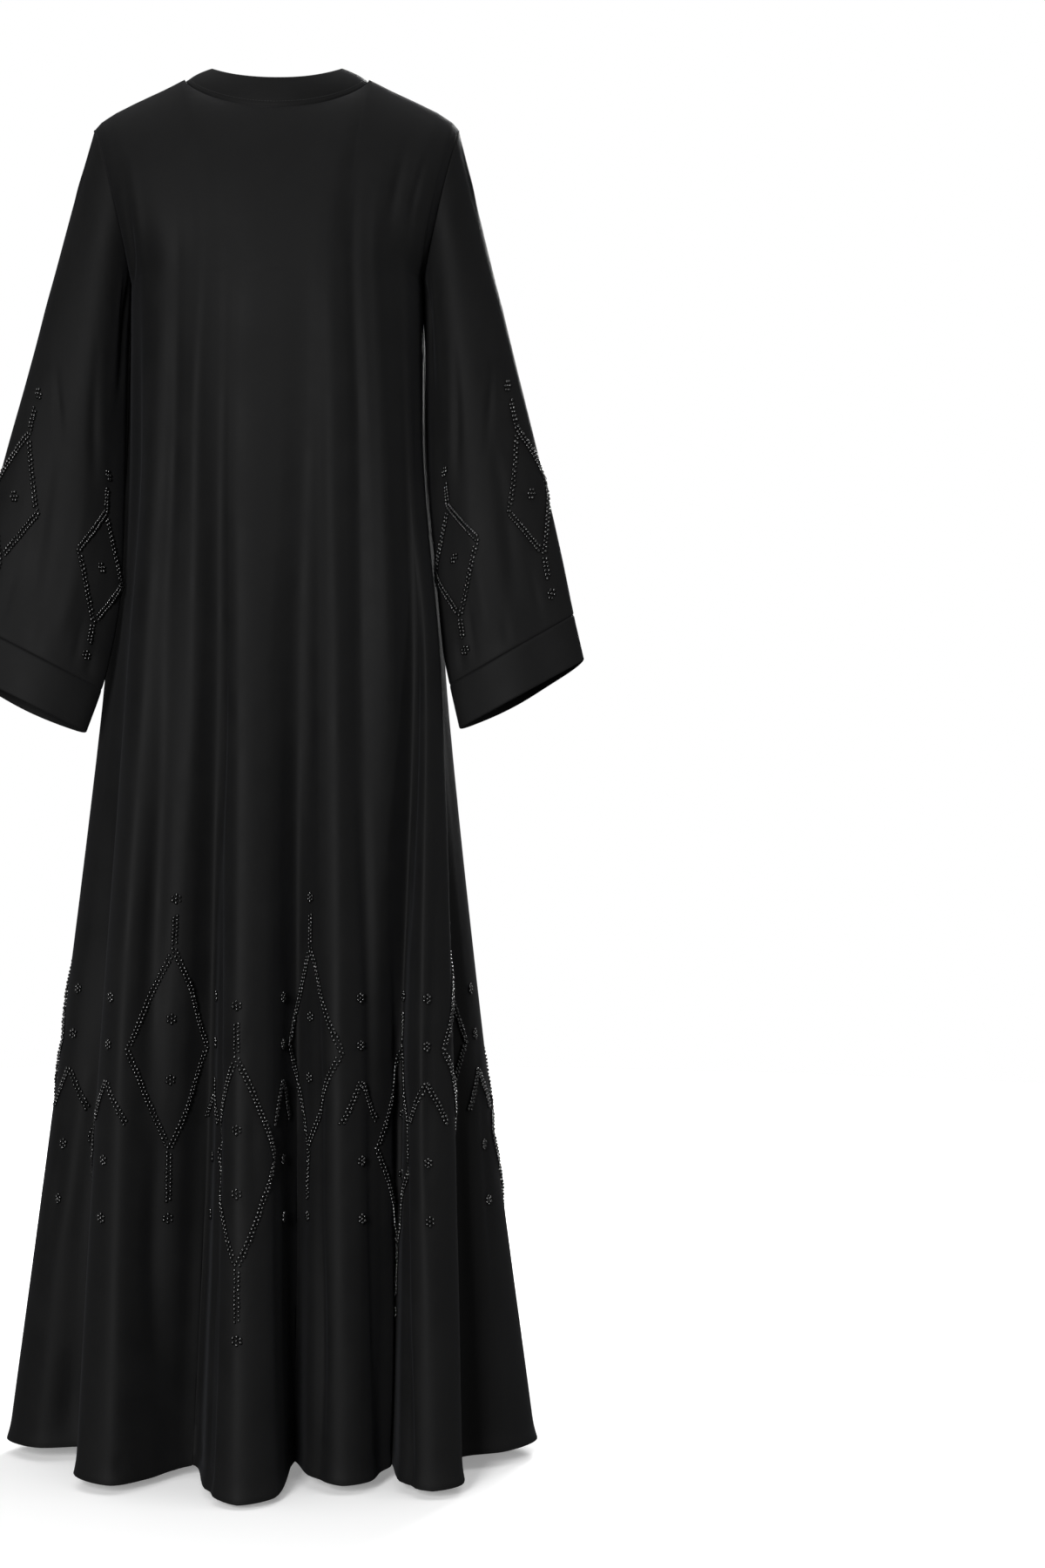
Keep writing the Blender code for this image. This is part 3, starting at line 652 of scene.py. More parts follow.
skirt_beads = lozenge_motif(*SKIRT_MOTIF)
gap_beads = draw_motif([GAP_MOTIF[0]], GAP_MOTIF[1])
sleeve_beads = lozenge_motif(*SLEEVE_MOTIF)
print("beads in one skirt motif:", len(skirt_beads) + len(gap_beads))


# %% Wrapping the motifs on the cloth
LOZENGES_ROUND = 12
SKIRT_MOTIF_Z = (-985 * MM, -1085 * MM)
GAP_MOTIF_Z = -1030 * MM
SLEEVE_TURNS = (45, 135, -135, -45)
SLEEVE_MOTIF_UP = 128 * MM
JITTER = 0.16 * MM
chance = np.random.default_rng(11)


def skirt_chain():
    """The three panels' skirt rows as one grid, once round."""
    rows = slice(0, SKIRT_ROWS + 1)
    return np.concatenate(
        [grids["front_left"][rows], grids["back"][rows, 1:], grids["front_right"][rows, 1:]], axis=1
    )


def find_place(lengths, levels, centre, level, bead):
    """The row and column, with fractions, of a bead of a motif centred at that length and level."""
    row = float(np.interp(level + bead[1], levels, np.arange(len(levels))))
    below = min(int(row), len(levels) - 2)
    here = lengths[below] + (lengths[below + 1] - lengths[below]) * (row - below)
    middle = np.interp(centre, np.arange(lengths.shape[1]), here)
    return row, float(np.interp(middle + bead[0], here, np.arange(lengths.shape[1])))


def wrap_motifs(motifs, lengths, levels):
    """Places of all beads of [(motif, centre column, level)], each moved a hair by chance."""
    places = []
    for motif, centre, level in motifs:
        for bead in motif:
            shaken = bead + chance.normal(0, JITTER, 2)
            places.append(find_place(lengths, levels, centre, level, shaken))
    return np.array(places)


print("motifs round the skirt:", 2 * LOZENGES_ROUND - 1, "and round a sleeve:", len(SLEEVE_TURNS))


# %% Lay out the skirt and the sleeves
def skirt_layout():
    """Lozenges high and low in turn, with a small motif in each gap."""
    chain = skirt_chain()
    lengths = along_rows(chain)
    levels = np.linspace(HEM_Z, UNDERARM_Z, SKIRT_ROWS + 1)
    row = int(np.interp(GAP_MOTIF_Z, levels, np.arange(len(levels))))
    spacing = lengths[row, -1] / LOZENGES_ROUND
    places = np.arange(lengths.shape[1])
    motifs = []
    for k in range(LOZENGES_ROUND):
        middle = np.interp((k + 0.5) * spacing, lengths[row], places)
        motifs.append((skirt_beads, middle, SKIRT_MOTIF_Z[k % 2]))
        if k:
            between = np.interp(k * spacing, lengths[row], places)
            motifs.append((gap_beads, between, GAP_MOTIF_Z))
    print("lozenges", round(float(spacing), 3), "m apart")
    return wrap_motifs(motifs, lengths, levels)


def sleeve_layout(name):
    grid = grids[name]
    lengths = along_rows(np.concatenate([grid, grid[:, :1]], axis=1))
    levels = upwards[name].mean(axis=1)
    ring = len(RING_TURNS)
    centres = [(turn % 360) / 360 * ring for turn in SLEEVE_TURNS]
    motifs = [(sleeve_beads, centre, SLEEVE_MOTIF_UP) for centre in centres]
    return wrap_motifs(motifs, lengths, levels)


bead_places = {"skirt": skirt_layout()}
for word in ("left", "right"):
    bead_places["sleeve_" + word] = sleeve_layout("sleeve_" + word)
print("beads:", {name: len(places) for name, places in bead_places.items()})


# %% Reading a grid between its points
def read_grid(values, places, wrap=False):
    """The values at (row, column) places, straight between the grid's points."""
    if wrap:
        values = np.concatenate([values, values[:, :1]], axis=1)
    rows, columns_there = places[:, 0], places[:, 1]
    i = np.clip(rows.astype(int), 0, values.shape[0] - 2)
    j = np.clip(columns_there.astype(int), 0, values.shape[1] - 2)
    up = (rows - i)[:, None]
    over = (columns_there - j)[:, None]
    low = values[i, j] * (1 - over) + values[i, j + 1] * over
    high = values[i + 1, j] * (1 - over) + values[i + 1, j + 1] * over
    return low * (1 - up) + high * up


bead_points = {"skirt": read_grid(skirt_chain(), bead_places["skirt"])}
for word in ("left", "right"):
    name = "sleeve_" + word
    bead_points[name] = read_grid(grids[name], bead_places[name], wrap=True)
print("lowest bead:", round(float(bead_points["skirt"][:, 2].min()), 3), "m")

# %% [markdown]
# ## Creases
# Between the flutes the crepe shows small soft breaks: drags at the armholes, shallow troughs
# over the shoulder blades, and puckers where the weight of the beads pulls. Sculpting them by
# brush can't be repeated, and noise alone looks like nothing in particular. So the creases that
# matter are listed in a table, each with its own length, width, depth and deepest point, and
# only the fine puckers beside seams and beads come from noise.

# %% Creases of the back
# Columns: name, start (place in fold lines, z mm), end, half width mm, height mm, deepest share.
BACK_CREASES = (
    ("blade fold left", (2.2, -80), (1.2, -215), 5, -3.4, 0.75),
    ("blade ridge left", (3.2, -85), (2.6, -215), 6, 1.6, 0.5),
    ("flute 1 high trough", (4.95, -100), (4.9, -640), 7, -2.6, 0.55),
    ("flute 1 trough", (4.95, -540), (5.2, -1100), 10, -5.4, 0.6),
    ("flute 1 low trough", (5.3, -1040), (5.35, -1392), 12, -6.0, 0.4),
    ("flute 1 inner ridge", (6.0, -120), (6.2, -780), 8, 1.8, 0.5),
    ("flute 1 low ridge", (6.3, -740), (6.1, -1330), 8, 2.0, 0.45),
    ("valley A head", (7.5, -140), (7.5, -860), 7, -3.0, 0.75),
    ("valley A foot", (7.7, -740), (8.0, -1180), 8, -5.0, 0.6),
    ("valley A hem", (8.0, -1000), (7.9, -1560), 9, -7.0, 0.5),
    ("slope to valley A", (6.9, -960), (6.7, -1540), 9, 4.0, 0.5),
    ("nape mark", (10.05, -45), (10.05, -66), 2.5, -0.5, 0.3),
    ("flute 2 nick", (9.55, -1020), (9.65, -1150), 6, -2.2, 0.5),
    ("flute 2 slope break", (10.3, -760), (10.2, -1394), 11, -2.0, 0.6),
    ("valley B head", (11.5, -180), (11.6, -860), 9, -3.0, 0.75),
    ("valley B foot", (11.8, -740), (12.0, -1180), 10, -5.0, 0.6),
    ("valley B hem", (12.0, -1000), (12.1, -1560), 10, -8.0, 0.5),
    ("slope to valley B", (10.9, -900), (10.95, -1560), 10, 4.0, 0.5),
    ("flute 3 high trough", (14.05, -80), (14.0, -820), 7, -3.6, 0.5),
    ("flute 3 trough", (14.0, -700), (14.5, -1380), 8, -5.2, 0.4),
    ("flute 3 inner ridge", (14.9, -95), (15.2, -760), 7, 1.8, 0.45),
    ("flute 3 low ridge", (14.95, -980), (15.2, -1260), 6, 1.8, 0.5),
    ("short trough right", (15.6, -66), (15.55, -190), 5, -2.0, 0.5),
    ("second short trough", (17.4, -78), (17.0, -200), 4.5, -1.6, 0.5),
    ("valley C head", (16.1, -150), (16.8, -900), 6, -3.4, 0.65),
    ("valley C cross fold", (15.0, -780), (16.4, -1180), 7, -5.0, 0.7),
    ("valley C foot", (16.8, -1000), (17.1, -1560), 9, -9.0, 0.5),
    ("slope to valley C", (15.3, -960), (15.5, -1540), 11, 6.0, 0.5),
    ("flute 4 trough", (18.6, -700), (18.1, -1240), 6, -3.0, 0.5),
    ("flute 4 ridge", (18.95, -780), (18.6, -1260), 6, 1.6, 0.5),
    ("left panel trough", (2.0, -800), (1.5, -1290), 9, -4.6, 0.55),
    ("left panel hem trough", (1.65, -1130), (1.55, -1399), 11, -5.6, 0.8),
    ("left panel ridge", (1.45, -1000), (1.15, -1230), 6, 2.0, 0.5),
    ("left panel break", (1.1, -1010), (0.75, -1240), 7, -3.0, 0.5),
    ("right side ridge", (20.6, -940), (20.5, -1300), 8, 2.0, 0.5),
    ("right side break", (21.35, -960), (20.95, -1310), 7, -2.4, 0.6),
    ("right side hem trough", (20.9, -1250), (20.6, -1398), 10, -1.6, 0.75),
    ("hem nick A", (7.2, -1330), (7.3, -1398), 6, -1.4, 0.8),
    ("hem nick B", (4.3, -1350), (4.25, -1398), 7, -1.2, 0.8),
)
print("creases of the back:", len(BACK_CREASES))

# %% Creases of the fronts
# Places are counted from the left front edge on the left front and from the side on the right.
FRONT_LEFT_CREASES = (
    ("placket break", (1.2, -190), (1.5, -620), 9, -1.5, 0.4),
    ("chest trough", (3.1, -130), (2.9, -560), 10, -1.8, 0.5),
    ("chest ridge", (4.3, -120), (4.2, -500), 11, 1.2, 0.45),
    ("armhole drag", (7.2, -95), (8.6, -210), 5, -2.4, 0.6),
    ("armhole ridge", (8.3, -85), (9.4, -200), 5, 1.3, 0.5),
    ("side trough", (6.2, -180), (6.0, -640), 9, -1.6, 0.6),
    ("flute 9 break", (4.3, -700), (4.6, -1090), 12, -1.6, 0.5),
    ("flute 9 late ridge", (3.6, -930), (3.5, -1340), 11, 1.4, 0.6),
    ("flute 8 break", (7.2, -760), (7.0, -1180), 12, -1.7, 0.5),
    ("flute 8 late ridge", (7.9, -900), (7.8, -1360), 11, 1.5, 0.6),
    ("side break", (9.6, -820), (9.7, -1250), 10, -2.0, 0.5),
    ("hem nick", (5.1, -1320), (5.2, -1398), 7, -1.4, 0.8),
)
FRONT_RIGHT_CREASES = (
    ("armhole drag", (3.6, -90), (2.3, -205), 5, -2.5, 0.6),
    ("armhole ridge", (2.7, -85), (1.6, -195), 5, 1.2, 0.5),
    ("side trough", (4.8, -170), (5.0, -600), 9, -1.7, 0.5),
    ("chest ridge", (6.8, -125), (6.7, -520), 11, 1.2, 0.5),
    ("chest trough", (7.9, -140), (8.1, -590), 10, -1.7, 0.5),
    ("placket break", (9.8, -240), (9.5, -700), 9, -1.4, 0.5),
    ("flute 5 break", (4.0, -740), (4.2, -1140), 12, -1.6, 0.5),
    ("flute 5 late ridge", (3.3, -940), (3.4, -1330), 11, 1.5, 0.6),
    ("flute 6 break", (6.6, -690), (6.4, -1100), 12, -1.5, 0.45),
    ("flute 6 late ridge", (7.4, -920), (7.5, -1360), 11, 1.4, 0.6),
    ("side break", (1.3, -780), (1.4, -1220), 10, -2.1, 0.5),
    ("hem nick", (5.9, -1310), (5.9, -1398), 7, -1.3, 0.8),
)
print("creases of the fronts:", len(FRONT_LEFT_CREASES) + len(FRONT_RIGHT_CREASES))

# %% Creases of the sleeves
# Columns: name, start (share up the sleeve from the cuff, degrees round), end, half width mm,
# height mm, deepest share.
SLEEVE_CREASES = (
    ("underarm drag", (0.99, 26), (0.66, 30), 6, -4.2, 0.35),
    ("underarm ridge", (0.97, 48), (0.58, 46), 7, 1.8, 0.4),
    ("outer line", (0.99, 158), (0.80, 160), 4, 1.4, 0.4),
    ("elbow trough", (0.74, 76), (0.34, 60), 9, -2.6, 0.5),
    ("elbow break", (0.58, 124), (0.40, 92), 7, -1.7, 0.5),
    ("forearm trough", (0.48, 106), (0.06, 98), 9, -2.8, 0.6),
    ("forearm ridge", (0.42, 68), (0.03, 74), 8, 1.8, 0.6),
    ("cuff pucker 1", (0.15, 38), (0.0, 36), 4, -0.9, 0.7),
    ("cuff pucker 2", (0.20, 56), (0.0, 55), 4, -1.1, 0.6),
    ("cuff pucker 3", (0.13, 88), (0.0, 86), 4.5, -0.9, 0.7),
    ("cuff pucker 4", (0.17, 118), (0.0, 121), 4, -1.0, 0.6),
    ("cuff pucker 5", (0.11, 148), (0.0, 149), 4, -0.8, 0.7),
    ("front elbow trough", (0.70, -70), (0.36, -62), 8, -1.7, 0.5),
    ("front forearm trough", (0.44, -112), (0.07, -104), 9, -1.6, 0.6),
    ("front cuff pucker 1", (0.16, -52), (0.0, -50), 4, -1.0, 0.6),
    ("front cuff pucker 2", (0.13, -98), (0.0, -101), 4.5, -0.9, 0.7),
    ("front cuff pucker 3", (0.18, -138), (0.0, -136), 4, -0.9, 0.6),
)
print("creases of each sleeve:", len(SLEEVE_CREASES))

# %% The shape of a crease
CREASE_STRAY = 0.6  # how far it strays from a straight line, in half widths
CREASE_STRAY_TURNS = (2.3, 5.0)  # from one crease to the next and along it, in radians
CREASE_WIDTHS = (0.75, 0.5)  # its width at the start, and what it gains by the end
CREASE_SOFT_ENDS = 1.3
CREASE_UNEVEN = (0.22, 9.0)  # how much its height comes and goes, and how fast along it


def crease_relief(rows_of_table, place_at, level_at, lengths):
    """The sum of a table's creases over a grid. place_at is per column, level_at per point."""
    relief = np.zeros(level_at.shape)
    rows = np.arange(level_at.shape[0])[:, None]
    by_crease, by_length = CREASE_STRAY_TURNS
    for number, (_, start, end, half_width, height, deepest) in enumerate(rows_of_table):
        t = (level_at - start[1]) / (end[1] - start[1])
        inside = (t > 0) & (t < 1)
        t = np.clip(t, 0, 1)
        turn = by_crease * number + by_length * t
        wander = CREASE_STRAY * half_width * np.sin(turn) * t * (1 - t) * MM
        place = start[0] + (end[0] - start[0]) * t
        index = np.interp(place, place_at, np.arange(len(place_at)))
        low = np.clip(index.astype(int), 0, len(place_at) - 2)
        part = index - low
        centre = lengths[rows, low] * (1 - part) + lengths[rows, low + 1] * part
        wide = half_width * (CREASE_WIDTHS[0] + CREASE_WIDTHS[1] * t) * MM
        away = (lengths - centre - wander) / wide
        swell = np.sin(np.pi * t ** (math.log(0.5) / math.log(deepest))) ** CREASE_SOFT_ENDS
        uneven = 1 + CREASE_UNEVEN[0] * np.sin(CREASE_UNEVEN[1] * t + number)
        relief += np.where(inside, height * MM * swell * uneven * np.exp(-(away**2)), 0)
    return relief


print("longest crease:", round(max(abs(row[2][1] - row[1][1]) for row in BACK_CREASES)), "mm")

# %% Seams, softness and puckers
SOFTNESS = 0.32 * MM
SOFT_ACROSS = 0.045  # how far apart the soft unevenness rises and falls, in metres
SOFT_ALONG = 0.16
SEAM_DEPTH = 0.75 * MM
SEAM_HALF_WIDTH = 1.15 * MM
SEAM_GRIP = 5 * MM
# Just below the underarm the sleeve's inner fold lies against the side of the body. At that
# height no seam sinks and the cloth swells by a hair, so that no light shows between the two.
UNDERARM_TOUCH_Z = -236 * MM
UNDERARM_REACH = 24 * MM
UNDERARM_SWELL = 0.4 * MM
PUCKER = 0.3 * MM
PUCKER_SPACING = 15 * MM
PUCKER_REACH = 16 * MM
BEAD_PUCKER = 0.85 * MM
BEAD_PUCKER_SPACING = 13 * MM
BEAD_PUCKER_REACH = 13 * MM
BEAD_PUCKER_LENGTH = 5 * BEAD_PUCKER_SPACING
BEAD_PUCKER_SEED = 7.7
PIECE_SEED = 3.1  # each piece reads the noise in a place of its own
SEAM_SIDES = {
    "back": ("first", "last", "top"),
    "front_left": ("last", "top"),
    "front_right": ("first", "top"),
    "sleeve_left": ("top", "bottom", "underarm"),
    "sleeve_right": ("top", "bottom", "underarm"),
    "cuff_left": ("top", "underarm"),
    "cuff_right": ("top", "underarm"),
    "neck_band": ("bottom",),
}


def soft_noise(over, up, seed):
    """Smooth noise for each pair of numbers."""
    flat = [noise.noise(Vector((a, b, seed))) for a, b in zip(over.ravel(), up.ravel())]
    return np.array(flat).reshape(over.shape)


def seam_distance(name):
    """How far each point is from the nearest seam of its piece."""
    over = across[name]
    up = upwards[name]
    sides = {
        "first": over,
        "last": over[:, -1:] - over,
        "top": up[-1] - up,
        "bottom": up,
    }
    around = over[:, -1:] + over[:, 1:2]
    sides["underarm"] = np.minimum(over, around - over)
    return np.min([sides[side] for side in SEAM_SIDES[name]], axis=0)


print("seams are sunk", SEAM_DEPTH / MM, "mm")


# %% Pull of the beads, and all relief together
def bead_pull(name, points):
    """Puckers beside the beadwork: upright ripples that die away a finger's width off."""
    tree = kdtree.KDTree(len(points))
    for index, point in enumerate(points):
        tree.insert(Vector(point), index)
    tree.balance()
    grid = grids[name]
    low = points[:, 2].min() - 3 * BEAD_PUCKER_REACH
    high = points[:, 2].max() + 3 * BEAD_PUCKER_REACH
    pull = np.zeros(grid.shape[:2])
    for i, j in np.argwhere((grid[..., 2] > low) & (grid[..., 2] < high)):
        away = tree.find(Vector(grid[i, j]))[2]
        if away < 3 * BEAD_PUCKER_REACH:
            over = across[name][i, j] / BEAD_PUCKER_SPACING
            up = upwards[name][i, j] / BEAD_PUCKER_LENGTH
            ripple = noise.noise(Vector((over, up, BEAD_PUCKER_SEED)))
            pull[i, j] = BEAD_PUCKER * ripple * math.exp(-away / BEAD_PUCKER_REACH)
    return pull


def cloth_relief(name, creases):
    """Everything that raises or sinks one piece, in metres along its direction out."""
    over = across[name]
    up = upwards[name]
    seam = seam_distance(name)
    held = 1 - np.exp(-((seam / SEAM_GRIP) ** 2))
    seed = PIECE_SEED * (sorted(grids).index(name) + 1)
    soft = SOFTNESS * soft_noise(over / SOFT_ACROSS, up / SOFT_ALONG, seed)
    fine = soft_noise(over / PUCKER_SPACING, up / PUCKER_SPACING, seed + 9)
    soft += PUCKER * fine * np.exp(-seam / PUCKER_REACH)
    close = np.exp(-(((grids[name][..., 2] - UNDERARM_TOUCH_Z) / UNDERARM_REACH) ** 2))
    groove = SEAM_DEPTH * np.exp(-((seam / SEAM_HALF_WIDTH) ** 2))
    return held * (soft + creases) - groove * (1 - close) + UNDERARM_SWELL * close


# %% Raise and sink every piece
CREASES = {
    "back": (BACK_CREASES, SIDE_LEFT),
    "front_left": (FRONT_LEFT_CREASES, 0),
    "front_right": (FRONT_RIGHT_CREASES, SIDE_RIGHT),
}
relief = {}
for name, grid in grids.items():
    creases = np.zeros(grid.shape[:2])
    if name in CREASES:
        table, first = CREASES[name]
        levels = grid[..., 2] / MM
        creases = crease_relief(table, columns[name] - first, levels, across[name])
        creases += bead_pull(name, bead_points["skirt"])
    elif name.startswith("sleeve"):
        ring = 180.0 * np.arange(2 * YOKE_ROWS) / YOKE_ROWS
        levels = upwards[name] / upwards[name][-1:]
        table = [
            (crease, (start[1] % 360, start[0]), (end[1] % 360, end[0]), *rest)
            for crease, start, end, *rest in SLEEVE_CREASES
        ]
        creases = crease_relief(table, ring, levels, across[name])
        creases += bead_pull(name, bead_points[name])
    relief[name] = cloth_relief(name, creases)
print("deepest crease:", round(float(min(r.min() for r in relief.values()) / MM), 2), "mm")

# %% [markdown]
# ## The turned hem
# The hem is folded up twice and pressed. It is stiffer than the cloth above, so it kicks out a
# little, and its fold is round and two layers thick. On the neck band a row of edge stitching
# leaves a shallow groove.

# %% Hem and edge stitching
HEM_TURN = 22 * MM
HEM_KICK = 2.2 * MM
STITCH_UP = 5.5 * MM
STITCH_GROOVE = 0.3 * MM
STITCH_GROOVE_HALF_WIDTH = 1.6 * MM

for name in ("back", "front_left", "front_right"):
    near = np.clip(1 - upwards[name] / HEM_TURN, 0, 1)
    relief[name] += HEM_KICK * near**2
from_stitches = (upwards["neck_band"] - STITCH_UP) / STITCH_GROOVE_HALF_WIDTH
relief["neck_band"] -= STITCH_GROOVE * np.exp(-(from_stitches**2))

for name in grids:
    grids[name] = grids[name] + normals[name] * relief[name][..., None]
normals = outward_normals()
print("hem kick:", HEM_KICK / MM, "mm")

# %% [markdown]
# ## Cloth as a thin shell
# A single sheet has no edge to catch the light, and Solidify gives a square one. Here the outer
# grid gets an inner one a cloth's thickness away, at half the fineness because it is hardly
# seen, and the two are joined by an edge that is rolled where the cloth is folded over and flat
# where it runs into a seam.

# %% Thicknesses and edges
CLOTH_WALL = 1.2 * MM
HEM_WALL = 2.2 * MM
HEM_STEP = 3 * MM  # the thickness changes over this height at the top of the hem
BAND_WALL = 1.9 * MM
ROLL_TURNS = (60, 120)  # degrees round a folded edge, from the outer side
CORNER_ANGLE = 72  # faces that meet more sharply than this, in degrees, keep a hard edge
FOLDED_SIDES = {
    "back": ("bottom",),
    "front_left": ("bottom", "first"),
    "front_right": ("bottom", "last"),
    "cuff_left": ("bottom",),
    "cuff_right": ("bottom",),
    "neck_band": ("top", "first", "last"),
}


def rim_loops(rows, columns_wide, wrap):
    """The grid's edges as loops of (row, column, side), each against the clock seen from outside."""
    bottom = [(0, j, "bottom") for j in range(columns_wide)]
    top = [(rows - 1, j, "top") for j in range(columns_wide)][::-1]
    if wrap:
        return [bottom, top]
    right = [(i, columns_wide - 1, "last") for i in range(1, rows)]
    left = [(i, 0, "first") for i in range(rows - 2, 0, -1)]
    return [bottom + right + top[1:] + left]


def edge_directions(grid, wrap):
    """For points on the grid's edges, the way out past the edge in the plane of the cloth."""
    past = np.zeros_like(grid)
    past[0] += unit(grid[0] - grid[1])
    past[-1] += unit(grid[-1] - grid[-2])
    if not wrap:
        past[:, 0] += unit(grid[:, 0] - grid[:, 1])
        past[:, -1] += unit(grid[:, -1] - grid[:, -2])
    return past


print("cloth", CLOTH_WALL / MM, "mm thick, hem", HEM_WALL / MM, "mm, band", BAND_WALL / MM, "mm")


# %% Shell of one piece
def inner_face(i, j, rows, columns_wide, wrap):
    """One face of the inner layer, two steps wide, with the edges' own points between."""
    over = (j + 2) % columns_wide
    corners = [(i, j)]
    if i == 0:
        corners.append((i, j + 1))
    corners.append((i, over))
    if not wrap and j + 2 == columns_wide - 1:
        corners.append((i + 1, j + 2))
    corners.append((i + 2, over))
    if i + 2 == rows - 1:
        corners.append((i + 2, j + 1))
    corners.append((i + 2, j))
    if not wrap and j == 0:
        corners.append((i + 1, j))
    return corners[::-1]


def shell_mesh(name, wall):
    """Points and faces of one cloth piece as a closed thin shell, and its lengths as UVs."""
    grid = grids[name]
    wrap = name in TUBES
    rows, columns_wide = grid.shape[:2]
    inner = grid - normals[name] * wall[..., None]
    count = rows * columns_wide
    steps = columns_wide if wrap else columns_wide - 1
    faces = []
    for i in range(rows - 1):
        for j in range(steps):
            a = i * columns_wide + j
            b = i * columns_wide + (j + 1) % columns_wide
            faces.append((a, b, b + columns_wide, a + columns_wide))
    for i in range(0, rows - 1, 2):
        for j in range(0, steps, 2):
            inside = inner_face(i, j, rows, columns_wide, wrap)
            faces.append(tuple(count + row * columns_wide + column for row, column in inside))
    from_middle = across[name] - across[name].mean(axis=1, keepdims=True)
    lengths = np.stack([from_middle, upwards[name]], axis=2)
    points = [grid.reshape(-1, 3), inner.reshape(-1, 3)]
    flat = [lengths.reshape(-1, 2)] * 2
    past = edge_directions(grid, wrap)
    total = 2 * count
    for loop in rim_loops(rows, columns_wide, wrap):
        at = np.array([(i, j) for i, j, _ in loop])
        i, j = at.T
        folded = np.array([[side in FOLDED_SIDES.get(name, ())] for _, _, side in loop], float)
        out = normals[name][i, j]
        way = past[i, j] - out * np.sum(past[i, j] * out, axis=1, keepdims=True)
        thick = wall[i, j][:, None]
        middle = (grid[i, j] + inner[i, j]) / 2
        for turn in np.radians(ROLL_TURNS):
            roll = out * math.cos(turn) + unit(way) * math.sin(turn) * folded
            points.append(middle + roll * thick / 2)
            flat.append(lengths[i, j])
        outer_ring = i * columns_wide + j
        first_roll = total + np.arange(len(loop))
        rings = [outer_ring, first_roll, first_roll + len(loop), count + outer_ring]
        total += 2 * len(loop)
        for ring, next_ring in zip(rings[:-1], rings[1:]):
            for k in range(len(loop)):
                n = (k + 1) % len(loop)
                faces.append((ring[n], ring[k], next_ring[k], next_ring[n]))
    return np.concatenate(points), faces, np.concatenate(flat)


print("a folded edge is rolled in", len(ROLL_TURNS) + 1, "steps")


# %% A mesh object from points and faces
def facing_out(name):
    """1 if the grid's columns and rows turn the same way as its directions out, else -1."""
    grid = grids[name]
    square = np.cross(np.diff(grid, axis=1)[:-1], np.diff(grid, axis=0)[:, :-1])
    return np.sign(np.sum(square * normals[name][:-1, :-1]))


def make_mesh(name, points, faces, flat):
    """A mesh object that holds only the points its faces use, smooth but for true corners."""
    used = np.unique(np.concatenate([np.asarray(face) for face in faces]))
    renumber = np.full(len(points), -1)
    renumber[used] = np.arange(len(used))
    mesh = bpy.data.meshes.new(name)
    mesh.from_pydata(points[used].tolist(), [], [renumber[list(face)].tolist() for face in faces])
    mesh.polygons.foreach_set("use_smooth", [True] * len(mesh.polygons))
    mesh.set_sharp_from_angle(angle=math.radians(CORNER_ANGLE))
    if flat is not None:
        layer = mesh.uv_layers.new(name="cloth_lengths")
        corners = np.empty(len(mesh.loops), int)
        mesh.loops.foreach_get("vertex_index", corners)
        layer.uv.foreach_set("vector", flat[used][corners].astype(np.float32).ravel())
    made = bpy.data.objects.new(name, mesh)
    bpy.context.scene.collection.objects.link(made)
    return made


# %% Build the cloth pieces
cloth = {}
for name, grid in grids.items():
    wall = np.full(grid.shape[:2], CLOTH_WALL)
    if name == "neck_band":
        wall[:] = BAND_WALL
    elif "bottom" in FOLDED_SIDES.get(name, ()):
        turned = np.clip((HEM_TURN - upwards[name]) / HEM_STEP, 0, 1)
        wall += (HEM_WALL - CLOTH_WALL) * turned
    points, faces, flat = shell_mesh(name, wall)
    if facing_out(name) < 0:
        faces = [face[::-1] for face in faces]
    piece = make_mesh("cloth_" + name, points, faces, flat)
    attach(piece, "root")
    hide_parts(name)
    cloth[name] = piece
    print(piece.name, "has", sum(len(face) - 2 for face in faces), "triangles")

# %% [markdown]
# ## Beads
# Each bead is a slightly flattened glass ball with its own small turn of size, sunk a little
# into the crepe by its thread. A ball of eighty triangles is round enough at this size, and the
# beads of one panel are joined into one object.

# %% One bead
BEAD_SIDES = 8
BEAD_RINGS = 5
BEAD_FLATNESS = 0.86
BEAD_SINK = 0.8
BEAD_SIZES = (0.84, 1.08)


def bead_ball():
    """Points and faces of one bead of radius 1, its hole pointing up."""
    points = [(0, 0, -1)]
    for ring in range(1, BEAD_RINGS + 1):
        dip = math.pi * ring / (BEAD_RINGS + 1)
        for side in range(BEAD_SIDES):
            turn = 2 * math.pi * (side + 0.5 * (ring % 2)) / BEAD_SIDES
            points.append((math.sin(dip) * math.cos(turn), math.sin(dip) * math.sin(turn), -math.cos(dip)))
    points.append((0, 0, 1))
    last = len(points) - 1
    faces = []
    for side in range(BEAD_SIDES):
        n = (side + 1) % BEAD_SIDES
        faces.append((0, 1 + n, 1 + side))
        faces.append((last, last - BEAD_SIDES + side, last - BEAD_SIDES + n))
        for ring in range(BEAD_RINGS - 1):
            low = 1 + ring * BEAD_SIDES
            high = low + BEAD_SIDES
            shift = (ring + 1) % 2
            a, b = low + side, low + n
            c, d = high + side, high + n
            faces += [(a, b, c), (b, d, c)] if shift else [(a, b, d), (a, d, c)]
    return np.array(points) * np.array([1, 1, BEAD_FLATNESS]), faces


print("triangles in a bead:", len(bead_ball()[1]))


